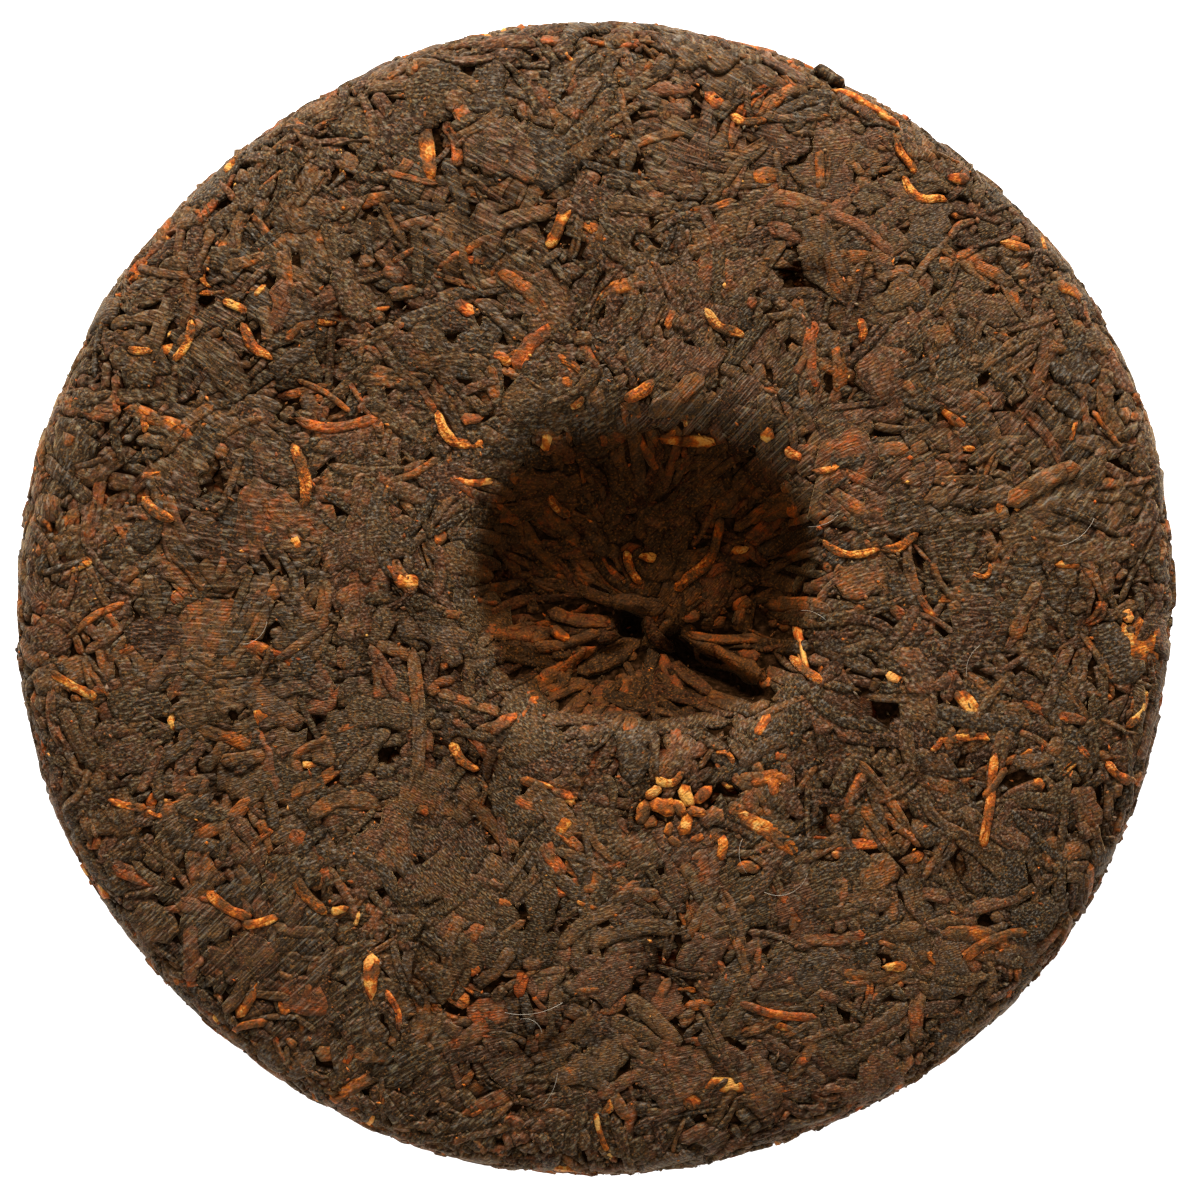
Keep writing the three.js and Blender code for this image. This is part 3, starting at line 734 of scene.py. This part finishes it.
def grid_faces(along, across, first_point):
    """Corner numbers of the faces of closed leaves, whose points start at first_point: quads between
    neighbouring points on top, quads between the two edges below, and a cap over each end."""
    i, j = np.meshgrid(np.arange(along - 1), np.arange(across - 1), indexing="ij")
    corner = (i * across + j).ravel()
    top = np.stack([corner, corner + across, corner + across + 1, corner + 1], axis=1)
    row = np.arange(along - 1) * across
    under = np.stack([row + across - 1, row + 2 * across - 1, row + across, row], axis=1)
    quads = np.concatenate([top, under])
    caps = np.stack([np.arange(across), (along * across - 1) - np.arange(across)])
    quads = (quads[None] + first_point[:, None, None]).reshape(-1, 4)
    caps = (caps[None] + first_point[:, None, None]).reshape(-1, across)
    return quads, caps


def ring_faces(rows, around):
    """Corner numbers of the quads between neighbouring rings of points."""
    i, j = np.meshgrid(np.arange(rows - 1), np.arange(around), indexing="ij")
    after = (j + 1) % around
    corners = [i * around + j, (i + 1) * around + j, (i + 1) * around + after, i * around + after]
    return np.stack(corners, axis=-1).reshape(-1, 4)


def add_object(name, data):
    """An object of the scene for a mesh, a lamp or a camera."""
    made = bpy.data.objects.new(name, data)
    bpy.context.scene.collection.objects.link(made)
    return made


MADE = {}


def make_mesh(name, points, faces, uvs=None, values=None):
    """A mesh object from arrays: points in mm, a list of face arrays, UVs and values of each point."""
    mesh = bpy.data.meshes.new(name)
    corners = np.concatenate([f.ravel() for f in faces]).astype(np.int32)
    sizes = np.concatenate([np.full(len(f), f.shape[1]) for f in faces]).astype(np.int32)
    starts = np.concatenate([[0], np.cumsum(sizes)[:-1]]).astype(np.int32)
    mesh.vertices.add(len(points))
    mesh.vertices.foreach_set("co", (points * MM).astype(np.float32).ravel())
    mesh.loops.add(len(corners))
    mesh.loops.foreach_set("vertex_index", corners)
    mesh.polygons.add(len(sizes))
    mesh.polygons.foreach_set("loop_start", starts)
    mesh.polygons.foreach_set("loop_total", sizes)
    mesh.polygons.foreach_set("use_smooth", np.ones(len(sizes), bool))
    mesh.update(calc_edges=True)
    for uv_name, uv in (uvs or {}).items():
        layer = mesh.uv_layers.new(name=uv_name)
        layer.data.foreach_set("uv", uv[corners].astype(np.float32).ravel())
    for value_name, value in (values or {}).items():
        attribute = mesh.attributes.new(value_name, "FLOAT", "POINT")
        attribute.data.foreach_set("value", value.astype(np.float32))
    MADE[name] = int((sizes - 2).sum())
    print(name, MADE[name], "triangles")
    return add_object(name, mesh)


# %% The leaves of each kind as one piece


def leaf_piece(name, pile, kind, low_tone, high_tone):
    """One mesh of all the leaves of a kind whose tones lie in a range. Each point is the smooth cake's
    point, less the knot's creases, plus the pressed height along the outward direction."""
    points, faces = [], []
    uvs = {"leaf": [], "cloth": []}
    values = {"tone": [], "hue": [], "relief": [], "side": [], "inside": []}
    first = 0
    for batch in pile["batches"]:
        batch_tone = batch["leaves"]["tone"]
        chosen = batch["keep"] & (batch_tone >= low_tone) & (batch_tone < high_tone)
        if batch["kind"] != kind or not chosen.any():
            continue
        among_kept = chosen[batch["keep"]]
        a, b = batch["a"][chosen], batch["b"][chosen]
        over = press(pile, batch)[among_kept]
        count, along, across = a.shape
        place = creased_point(pile["face"], a, b)
        place = place + cake_directions(pile["face"], a, b)[2] * over[..., None]
        place[..., 2] = np.maximum(place[..., 2], 0.01 + 0.02 * (over - over.min()))
        leaves = {key: value[chosen][:, None, None] for key, value in batch["leaves"].items()}
        u = np.linspace(-0.5, 0.5, along)[None, :, None] * leaves["length"] + leaves["phase"]
        v = np.linspace(-0.5, 0.5, across)[None, None, :] * leaves["width"] + 0.37 * leaves["phase"]
        u, v = np.broadcast_arrays(u, v)
        quads, caps = grid_faces(along, across, first + np.arange(count) * along * across)
        if pile["face"] == "front":
            quads, caps = quads[:, ::-1], caps[:, ::-1]
        faces += [quads, caps]
        points.append(place.reshape(-1, 3))
        uvs["leaf"].append(np.stack([u, v], axis=-1).reshape(-1, 2))
        uvs["cloth"].append(cloth_threads(pile["face"], a, b).reshape(-1, 2))
        given = {"tone": leaves["tone"], "hue": leaves["hue"], "side": steps_across(across),
                 "relief": over / looseness(pile["face"], a, b),
                 "inside": shade_in_hollow(pile["face"], a, b)}
        for key, value in given.items():
            values[key].append(np.broadcast_to(value, a.shape).ravel())
        first += a.size
    uvs = {key: np.concatenate(value) for key, value in uvs.items()}
    values = {key: np.concatenate(value) for key, value in values.items()}
    return make_mesh(name, np.concatenate(points), faces, uvs, values)


LEAF_SORTS = (
    ("rolled_leaves_dark", "rolled", 0.0, 0.26), ("rolled_leaves_brown", "rolled", 0.26, 0.57),
    ("rolled_leaves_russet", "rolled", 0.57, 1.1), ("broad_leaves_dark", "broad", 0.0, 0.26),
    ("broad_leaves_brown", "broad", 0.26, 1.1), ("torn_leaves", "torn", 0.0, 1.1),
    ("buds", "bud", 0.0, 1.1), ("stalks", "stalk", 0.0, 1.1),
)
PIECES = {}
for face, pile in PILES.items():
    for sort, kind, low_tone, high_tone in LEAF_SORTS:
        name = face + "_" + sort
        PIECES[name] = leaf_piece(name, pile, kind, low_tone, high_tone)
print("seconds so far:", round(time.time() - started, 1))

# %% [markdown]
# ## Crumbs and lint
# Rubbed-off crumbs of leaf and down fill the creases, and many of them are golden. A crumb is an
# octahedron with uneven corners, eight faces each. The wrapper leaves a few pale cotton hairs, each a
# thin three-sided tube along a curved line.

# %% Crumbs
CRUMBS = {"back": 4600, "front": 2600}
GOLDEN_CRUMBS = 0.025  # shares of the crumbs
RUSSET_CRUMBS = 0.235
OCTAHEDRON = np.array([(1, 0, 0), (-1, 0, 0), (0, 1, 0), (0, -1, 0), (0, 0, 1), (0, 0, -1)], float)
OCTAHEDRON_FACES = np.array([(0, 2, 4), (2, 1, 4), (1, 3, 4), (3, 0, 4), (2, 0, 5), (1, 2, 5), (3, 1, 5),
                             (0, 3, 5)])


def crumb_piece(name, face, count):
    """Octahedra stretched to random half sizes, turned about the outward direction, half sunk in."""
    a, b = scatter(count, REACH[face] + 1, 2.5)
    half = rng.uniform(0.16, 0.42, (count, 1)) * rng.uniform((0.8, 0.5, 0.35), (2.0, 1.1, 0.7), (count, 3))
    corners = OCTAHEDRON[None] * half[:, None, :] * rng.uniform(0.7, 1.3, (count, 6, 1))
    turn = rng.uniform(0, 2 * math.pi, (count, 1))
    x = corners[..., 0] * np.cos(turn) - corners[..., 1] * np.sin(turn)
    y = corners[..., 0] * np.sin(turn) + corners[..., 1] * np.cos(turn)
    along_a, sideways, outward = cake_directions(face, a, b)
    over = swell(a, b) + looseness(face, a, b) * rng.uniform(-0.16, 0.06, count)
    over = over - read_map(PILES[face]["pits"], a, b)
    middle = creased_point(face, a, b) + outward * over[:, None]
    points = middle[:, None, :] + along_a[:, None, :] * x[..., None]
    points = points + sideways[:, None, :] * y[..., None] + outward[:, None, :] * corners[..., 2:]
    points[..., 2] = np.maximum(points[..., 2], 0.02)
    faces = (OCTAHEDRON_FACES[None] + 6 * np.arange(count)[:, None, None]).reshape(-1, 3)
    pick = rng.random(count)
    plain = pick < 1 - GOLDEN_CRUMBS - RUSSET_CRUMBS
    tone = np.where(plain, rng.uniform(0.1, 0.5, count), rng.uniform(0.5, 0.76, count))
    tone = np.where(pick > 1 - GOLDEN_CRUMBS, rng.uniform(0.80, 0.96, count), tone)
    values = {"tone": np.repeat(tone, 6), "hue": np.repeat(rng.random(count), 6),
              "relief": np.full(6 * count, 0.1), "side": np.zeros(6 * count),
              "inside": np.repeat(shade_in_hollow(face, a, b), 6)}
    uvs = {"leaf": np.stack([x, y], axis=-1).reshape(-1, 2) + 20 * np.repeat(turn, 6, axis=0),
           "cloth": np.repeat(cloth_threads(face, a, b), 6, axis=0)}
    return make_mesh(name, points.reshape(-1, 3), [faces], uvs, values)


for face, count in CRUMBS.items():
    PIECES[face + "_crumbs"] = crumb_piece(face + "_crumbs", face, count)

# %% Cotton lint
LINT_RADIUS = 0.03
# x, y, direction in degrees, length and bend of each hair on the back
LINT = ((28, -49.5, 20, 9, 0.9), (26, -47, 100, 6, -0.6), (77.5, 8.5, 35, 8, 0.5), (-16, -70, 8, 10, 0.4),
        (-13, -71.5, -30, 5, -0.9), (36, 12, 20, 5, 0.5), (35, -2.5, -20, 4, -0.6), (-60, -8, 40, 6, 0.7),
        (63, -14, 70, 6, -0.6), (-9, -86, 65, 6, 0.3))


def lint_piece(name, points_along=14, sides=3):
    """Tubes round middle lines whose heading turns evenly. A ring is the middle point plus radius times
    (cos t * sideways + sin t * outward)."""
    x, y, turn, length, bend = np.array(LINT, float).T
    a0, b0 = seen_at(x, y)
    t = np.linspace(-1, 1, points_along)[None, :]
    head = np.radians(turn)[:, None] + bend[:, None] * t
    step = (length / (points_along - 1))[:, None]
    a = a0[:, None] + np.cumsum(np.cos(head) * step, axis=1)
    b = b0[:, None] + np.cumsum(np.sin(head) * step, axis=1)
    along_a, sideways, outward = cake_directions("back", a, b)
    over = 0.3 + 0.24 * soft_noise(a / 9 + 11, b / 9) + 0.25 * (1 - t**2)
    middle = cake_point("back", a, b) + outward * over[..., None]
    across = -np.sin(head)[..., None] * along_a + np.cos(head)[..., None] * sideways
    ring = np.arange(sides) * 2 * math.pi / sides
    points = middle[:, :, None, :] + LINT_RADIUS * (
        np.cos(ring)[:, None] * across[:, :, None, :] + np.sin(ring)[:, None] * outward[:, :, None, :])
    ends = np.stack([np.arange(sides), points_along * sides - 1 - np.arange(sides)])
    first = np.arange(len(LINT))[:, None, None] * points_along * sides
    quads = (ring_faces(points_along, sides)[None] + first).reshape(-1, 4)
    ends = (ends[None] + first).reshape(-1, sides)
    return make_mesh(name, points.reshape(-1, 3), [quads, ends])


lint = lint_piece("cotton_lint")

# %% The packed tea under the leaves
CORE_DEPTH = 0.5


def core_piece(rings=110, spokes=300):
    """A closed skin from the middle of the back over the rim to the middle of the front, a little
    below the leaves. Rings follow the outline, and spokes go round it."""
    distance = np.linspace(0, 1, rings + 1)[1:]
    angle = np.arange(spokes) * 2 * math.pi / spokes
    parts = []
    for face, pile in PILES.items():
        d = distance * REACH[face]
        a, b = d[:, None] * np.cos(angle), d[:, None] * np.sin(angle)
        rough = 0.22 * soft_noise(a / 1.1 + 20, b / 1.1) - read_map(pile["pits"], a, b) + swell(a, b)
        sunk = rough - CORE_DEPTH * looseness(face, a, b)
        parts.append(creased_point(face, a, b) + cake_directions(face, a, b)[2] * sunk[..., None])
    skin = np.concatenate([parts[0], parts[1][-2::-1]])
    rows = len(skin)
    middles = [cake_point(face, np.array(0.0), np.array(0.01)) for face in PILES]
    middles = np.array(middles) - [[0, 0, CORE_DEPTH], [0, 0, -CORE_DEPTH]]
    points = np.concatenate([skin.reshape(-1, 3), middles])
    here = np.arange(spokes)
    after = (here + 1) % spokes
    last = (rows - 1) * spokes
    top = np.stack([np.full(spokes, rows * spokes), here, after], axis=1)
    low = np.stack([np.full(spokes, rows * spokes + 1), last + after, last + here], axis=1)
    return make_mesh("packed_tea_core", points, [ring_faces(rows, spokes), top, low])


core = core_piece()
print("triangles of the scattered pieces:", sum(MADE[name] for name in PIECES))

# %% [markdown]
# ## Materials
# Ripe pu erh is leaf that has fermented for weeks in a heap: dark brown and dull, with a faint sheen
# on the pressed tops, partly a painted sheen of greyish bloom. Steep leaf edges, folds and low places
# are painted a darker reddish brown as painted shade. Buds keep their fine golden down. Wrinkles run
# along each leaf, 0.3 to 0.4 mm apart. The press prints the cotton cloth on the tops of the leaves,
# about 15 threads to the centimetre, but so faintly that only patches of it can be made out.

# %% Helpers for materials


def linear(hex_colour):
    """sRGB hex to linear: c/12.92 below 0.04045, else ((c + 0.055)/1.055)^2.4."""
    c = np.array([int(hex_colour[i:i + 2], 16) for i in (1, 3, 5)]) / 255
    c = np.where(c <= 0.04045, c / 12.92, ((c + 0.055) / 1.055) ** 2.4)
    return (*c.tolist(), 1.0)


def add_node(tree, kind, settings=None, links=None, stops=(), output=0):
    """Adds a node and returns one of its outputs. settings go to its properties or input sockets, links
    map its inputs to sockets, and stops are the (place, hex colour) pairs of a colour ramp."""
    node = tree.nodes.new("ShaderNode" + kind)
    for key, value in (settings or {}).items():
        if isinstance(key, str) and hasattr(node, key):
            setattr(node, key, value)
        else:
            node.inputs[key].default_value = value
    for key, socket in (links or {}).items():
        tree.links.new(socket, node.inputs[key])
    for index, (place, colour) in enumerate(stops):
        if index >= len(node.color_ramp.elements):
            node.color_ramp.elements.new(place)
        node.color_ramp.elements[index].position = place
        node.color_ramp.elements[index].color = linear(colour)
    return node.outputs[output]


def new_material(name):
    """A material with its node tree and its main shader."""
    material = bpy.data.materials.new(name)
    material.use_nodes = True
    return material, material.node_tree, material.node_tree.nodes["Principled BSDF"]


# %% The leaf material
TONES = ((0.0, "#1e150e"), (0.18, "#34271c"), (0.36, "#4b3525"), (0.50, "#5e3d24"),
         (0.62, "#744220"), (0.74, "#954a1c"), (0.87, "#b96823"), (1.0, "#d09c55"))
HUES = ((0.0, "#ffdac4"), (0.3, "#fff3e2"), (0.6, "#f8e8ba"), (1.0, "#e8e9e6"))
GREY_DUST_AND_SHEEN = "#979084"  # greyish dust and painted sheen on the raised grains
THREAD = 0.66  # mm from one thread of the pressing cloth to the next
# Multiplied into the leaves deep in the hollow as painted shade.
HOLLOW_PAINTED_SHADE = "#d6bd9f"
GOLDEN_DOWN = "#ffd08a"
GOLDEN_DUST = "#8f6335"
WARM_GLOSS = "#e8c8a4"


def leaf_material(name, down=0.25, weave=1.0, grain=1.0, roughness=0.62):
    """Pressed leaf: the tone attribute picks the colour, fibres and small folds run along the leaf's
    UV, the cloth's print follows the cloth's UV, both in mm, and low places are painted darker as painted
    shade."""
    material, tree, shader = new_material(name)

    def add(*given, **more):
        return add_node(tree, *given, **more)

    place = add("TexCoord", output="Object")
    leaf_uv = add("UVMap", {"uv_map": "leaf"})
    cloth_uv = add("UVMap", {"uv_map": "cloth"})
    tone, hue, relief, side, inside = (add("Attribute", {"attribute_name": key}, output="Fac")
                                       for key in ("tone", "hue", "relief", "side", "inside"))

    # Fibres along the leaf, 0.35 mm apart, and folds about 1.4 mm wide and 5 mm long.
    stretched = add("Mapping", {"Scale": (0.34, 2.8, 1.0)}, {"Vector": leaf_uv})
    fibre = add("TexNoise", {"Scale": 1.0, "Detail": 3.0, "Roughness": 0.6}, {"Vector": stretched})
    wobble = add("TexNoise", {"Scale": 0.45, "Detail": 1.0}, {"Vector": leaf_uv})
    folded = add("VectorMath", {"operation": "MULTIPLY_ADD", 1: (1.6, 1.6, 0.0)},
                 {0: wobble.node.outputs["Color"], 2: leaf_uv})
    folded = add("Mapping", {"Scale": (0.17, 0.72, 1.0)}, {"Vector": folded})
    cells = {"voronoi_dimensions": "2D", "Scale": 1.0, "Randomness": 0.95}
    fold_tone = add("TexVoronoi", {**cells, "feature": "F1"}, {"Vector": folded}, output="Color")
    fold_tone = add("SeparateColor", links={0: fold_tone})
    fold_edge = add("TexVoronoi", {**cells, "feature": "DISTANCE_TO_EDGE"}, {"Vector": folded},
                    output="Distance")
    faded = add("MapRange", {"From Min": 0.44, "From Max": 0.60, "To Max": 0.09}, {0: wobble})
    fold_edge = add("Math", {"operation": "ADD"}, {0: fold_edge, 1: faded})
    fold_edge = add("MapRange", {"From Min": 0.0, "From Max": 0.07}, {0: fold_edge})

    # Fine grain, patches 3 mm wide, and the cloth's print: dashes along the weft, and its threads.
    speckle = add("TexNoise", {"Scale": 2.4 / MM, "Detail": 3.0}, {"Vector": place})
    blotch = add("TexNoise", {"Scale": 0.33 / MM, "Detail": 2.0}, {"Vector": place})
    pulled = add("Mapping", {"Scale": (1.15, 2.1, 1.0)}, {"Vector": cloth_uv})
    dashes = add("TexNoise", {"Scale": 1.0, "Detail": 2.0, "Roughness": 0.6}, {"Vector": pulled})
    shaken = add("TexNoise", {"Scale": 0.35, "Detail": 1.0}, {"Vector": cloth_uv}, output="Color")
    shaken = add("VectorMath", {"operation": "MULTIPLY_ADD", 1: (1.8, 1.8, 0.0)}, {0: shaken, 2: cloth_uv})
    parts = add("SeparateXYZ", links={0: shaken}).node
    threads = []
    for index, pitch in ((0, 1.6 * THREAD), (1, THREAD)):
        turned = add("Math", {"operation": "MULTIPLY", 1: 2 * math.pi / pitch},
                     {0: parts.outputs[index]})
        threads.append(add("Math", {"operation": "SINE"}, {0: turned}))
    crossed = add("Math", {"operation": "MULTIPLY_ADD", 1: 0.5}, {0: threads[0], 2: threads[1]})
    printed = add("MapRange", {"From Min": 0.40, "From Max": 0.62}, {0: blotch})
    print_here = add("Math", {"operation": "MULTIPLY"}, {0: crossed, 1: printed})

    # The leaf's tone with all of these on it picks the colour.
    patchy = add("MapRange", {"From Min": 0.36, "From Max": 0.62, "To Min": 0.53, "To Max": 1.22},
                 {0: blotch})
    total = add("Math", {"operation": "MULTIPLY"}, {0: tone, 1: patchy})
    for socket, weight, middle in ((fibre, 0.38, 0.5), (dashes, 0.35, 0.5), (fold_tone, 0.15, 0.5),
                                   (speckle, 0.54 * grain, 0.5), (print_here, 0.035 * weave, 0.0)):
        part = add("Math", {"operation": "SUBTRACT", 1: middle}, {0: socket})
        total = add("Math", {"operation": "MULTIPLY_ADD", 1: weight}, {0: part, 2: total})
    colour = add("ValToRGB", links={0: total}, stops=TONES)

    # Some leaves are redder and some more olive, and so are spots a millimetre wide on each.
    spots = add("TexNoise", {"Scale": 0.9 / MM, "Detail": 2.0}, {"Vector": place})
    spots = add("MapRange", {"From Min": 0.3, "From Max": 0.7, "To Min": -0.45, "To Max": 0.45}, {0: spots})
    spots = add("Math", {"operation": "ADD"}, {0: hue, 1: spots})
    hues_and_painted_shade = [add("ValToRGB", links={0: spots}, stops=HUES)]

    # Greyish bloom, part dust and part painted sheen, on what the cloth pressed up; none on buds or in the
    # hollow.
    dust_and_sheen = add("MapRange", {"From Min": 0.50, "From Max": 0.74, "To Max": 0.50}, {0: dashes})
    for socket in (inside, tone):
        dust_and_sheen_kept = add("MapRange", {"From Min": 0.5, "From Max": 0.8, "To Min": 1.0, "To Max": 0.1},
                    {0: socket})
        dust_and_sheen = add("Math", {"operation": "MULTIPLY"}, {0: dust_and_sheen, 1: dust_and_sheen_kept})
    colour = add("Mix", {"data_type": "RGBA", 7: linear(GREY_DUST_AND_SHEEN)}, {0: dust_and_sheen, 6: colour}, output=2)

    # Golden down and rubbed-off dust, as specks 0.4 mm wide.
    specks = add("TexNoise", {"Scale": 2.5 / MM, "Detail": 1.0}, {"Vector": place})
    specks = add("MapRange", {"From Min": 0.56, "From Max": 0.74, "To Max": 0.5}, {0: specks})
    colour = add("Mix", {"data_type": "RGBA", 7: linear(GOLDEN_DUST)}, {0: specks, 6: colour}, output=2)

    # Painted shade: creases, low places and steep sides are painted darker, and so are the leaves deep in
    # the hollow.
    steep_edge_shade = add("Math", {"operation": "ABSOLUTE"}, {0: side})
    steep_edge_shade = add("MapRange", {"From Min": 0.88, "From Max": 1.0, "To Min": 1.0, "To Max": 0.0}, {0: steep_edge_shade})
    low = add("MapRange", {"From Min": -0.62, "From Max": -0.08}, {0: relief})
    # Painted shade: fold edges, steep leaf sides and low places are multiplied darker.
    for socket, darkest in ((fold_edge, "#9c8270"), (steep_edge_shade, "#76593c"), (low, "#5a3c20")):
        hues_and_painted_shade.append(add("ValToRGB", links={0: socket}, stops=((0.0, darkest), (1.0, "#ffffff"))))
    shaded = {"data_type": "RGBA", "blend_type": "MULTIPLY"}
    for cast in hues_and_painted_shade:
        colour = add("Mix", {**shaded, 0: 1.0}, {6: colour, 7: cast}, output=2)
    colour = add("Mix", {**shaded, 7: linear(HOLLOW_PAINTED_SHADE)}, {0: inside, 6: colour}, output=2)
    tree.links.new(colour, shader.inputs["Base Color"])

    # Down and gloss show on the tops only, and hardly in the hollow.
    open_top = add("Math", {"operation": "MULTIPLY_ADD", 1: -0.7, 2: 1.0}, {0: inside})
    open_top = add("Math", {"operation": "MULTIPLY"}, {0: open_top, 1: low})
    for name, strength in (("Sheen Weight", down), ("Specular IOR Level", 0.16)):
        share = add("Math", {"operation": "MULTIPLY", 1: strength}, {0: open_top})
        tree.links.new(share, shader.inputs[name])

    # Relief in mm, which the bump node turns into slopes.
    height = None
    for socket, weight in ((fibre, 0.21), (fold_edge, 0.06), (speckle, 0.20 * grain), (dashes, 0.14),
                           (print_here, 0.020 * weave)):
        links = {0: socket} if height is None else {0: socket, 2: height}
        height = add("Math", {"operation": "MULTIPLY_ADD", 1: weight, 2: 0.0}, links)
    bump = add("Bump", {"Strength": 1.0, "Distance": MM}, {"Height": height})
    tree.links.new(bump, shader.inputs["Normal"])
    finish = {"Roughness": roughness, "IOR": 1.45, "Specular Tint": linear(WARM_GLOSS),
              "Sheen Roughness": 0.26, "Sheen Tint": linear(GOLDEN_DOWN)}
    for key, value in finish.items():
        shader.inputs[key].default_value = value
    return material


pressed_leaf = leaf_material("fermented tea leaf")
broad_leaf = leaf_material("pressed broad leaf", weave=1.6, roughness=0.64)
bud_leaf = leaf_material("downy tea bud", down=0.40, weave=0.3, grain=2.0, roughness=0.68)
stalk_bark = leaf_material("tea stalk", weave=0.2, roughness=0.55)
print("materials so far:", len(bpy.data.materials))

# %% Packed tea and cotton


def grainy_material(name, grains, detail, stops, finish, bumps=0.0):
    """A dull material whose colour and bumps, in mm, follow one noise of so many grains to the mm."""
    material, tree, shader = new_material(name)
    place = add_node(tree, "TexCoord", output="Object")
    grain = add_node(tree, "TexNoise", {"Scale": grains / MM, "Detail": detail}, {"Vector": place})
    colour = add_node(tree, "ValToRGB", links={0: grain}, stops=stops)
    tree.links.new(colour, shader.inputs["Base Color"])
    if bumps:
        bump = add_node(tree, "Bump", {"Strength": 1.0, "Distance": bumps * MM}, {"Height": grain})
        tree.links.new(bump, shader.inputs["Normal"])
    for key, value in finish.items():
        shader.inputs[key].default_value = value
    return material


# Nearly black brown dust between the leaves, partly painted shade of the gaps, and pale cotton that the tea
# has stained a little.
DUST_AND_GAP_SHADE_BROWNS = ((0.35, "#0f0702"), (0.55, "#1e1006"), (0.75, "#362112"))
packed_tea = grainy_material("packed tea dust and painted gap shade", 0.9, 4.0, DUST_AND_GAP_SHADE_BROWNS,
                             {"Roughness": 0.9, "Specular IOR Level": 0.0}, bumps=0.9)
cotton = grainy_material("cotton fibre", 0.4, 1.0, ((0.3, "#8f7f69"), (0.7, "#b9ad9a")), {"Roughness": 0.85})
core.data.materials.append(packed_tea)
lint.data.materials.append(cotton)
FINISHES = {"buds": bud_leaf, "stalks": stalk_bark, "broad": broad_leaf}
for name, piece in PIECES.items():
    finish = [value for word, value in FINISHES.items() if word in name] or [pressed_leaf]
    piece.data.materials.append(finish[0])

# %% Everything rides on the one body, and stands for the solid
for piece in [core, lint, *PIECES.values()]:
    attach(piece, "root")
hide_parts("tea_cake")

# %% [markdown]
# ## Table, light and camera
# The cake lies on a lit white table, so its outline shows no shadow. The room gives half of the light
# on its back. The other half comes from one soft lamp, which stands beyond the +Y side and low, so
# that the hollow's near wall is in shadow and its far slope is lit.

# %% The lit table


def lit_table(size=6.0):
    """A flat square that glows evenly white."""
    half = size / 2 / MM
    points = np.array([(-half, -half, 0), (half, -half, 0), (half, half, 0), (-half, half, 0)])
    table = make_mesh("lit_table", points, [np.array([[0, 1, 2, 3]])])
    material, _, shader = new_material("lit white acrylic")
    shader.inputs["Base Color"].default_value = linear("#ffffff")
    shader.inputs["Roughness"].default_value = 0.9
    shader.inputs["Emission Color"].default_value = linear("#ffffff")
    shader.inputs["Emission Strength"].default_value = 0.9
    table.data.materials.append(material)


lit_table()

# %% Lamps


def aim(thing, target):
    """Turns a lamp so that its -Z axis points at the target."""
    direction = np.array(target) - np.array(thing.location)
    length = np.linalg.norm(direction)
    pitch = math.acos(-direction[2] / length)
    yaw = math.atan2(direction[1], direction[0]) - math.pi / 2
    thing.rotation_euler = (pitch, 0, yaw)


LAMP_ELEVATION = 23.5
LAMP_TURN = 91  # degrees from +X, so nearly straight from +Y
LAMP_DISTANCE = 1.0
LAMP_SIZE = (0.36, 0.24)
LAMP_WATTS = 24.0
ROOM_LIGHT = 0.68
lamp_data = bpy.data.lights.new("window_lamp", "AREA")
lamp_data.shape = "RECTANGLE"
lamp_data.size, lamp_data.size_y = LAMP_SIZE
lamp_data.energy = LAMP_WATTS
lamp = add_object("window_lamp", lamp_data)
rise, turn = math.radians(LAMP_ELEVATION), math.radians(LAMP_TURN)
lamp.location = (LAMP_DISTANCE * math.cos(rise) * math.cos(turn),
                 LAMP_DISTANCE * math.cos(rise) * math.sin(turn), LAMP_DISTANCE * math.sin(rise))
aim(lamp, (0, 0, 0.02))

world = bpy.data.worlds.new("studio")
bpy.context.scene.world = world
world.use_nodes = True
world.node_tree.nodes["Background"].inputs[0].default_value = linear("#ffffff")
world.node_tree.nodes["Background"].inputs[1].default_value = ROOM_LIGHT

# %% The camera looks straight down, as in the photograph
camera_data = bpy.data.cameras.new("camera")
camera_data.lens = LENS
camera_data.sensor_width = SENSOR
camera_data.clip_end = 50
camera = add_object("camera", camera_data)
camera.location = ((PHOTO_WIDTH / 2 - CAKE_MIDDLE[0]) * MM_PER_PIXEL * MM,
                   (CAKE_MIDDLE[1] - PHOTO_WIDTH / 2) * MM_PER_PIXEL * MM,
                   (CAMERA_ABOVE_RIM + RIM_HEIGHT) * MM)
camera.rotation_euler = (0, 0, 0)
bpy.context.scene.camera = camera
bpy.context.scene.view_settings.view_transform = "Standard"
print("camera height in mm:", round(camera.location.z / MM, 1))
print("seconds in all:", round(time.time() - started, 1))
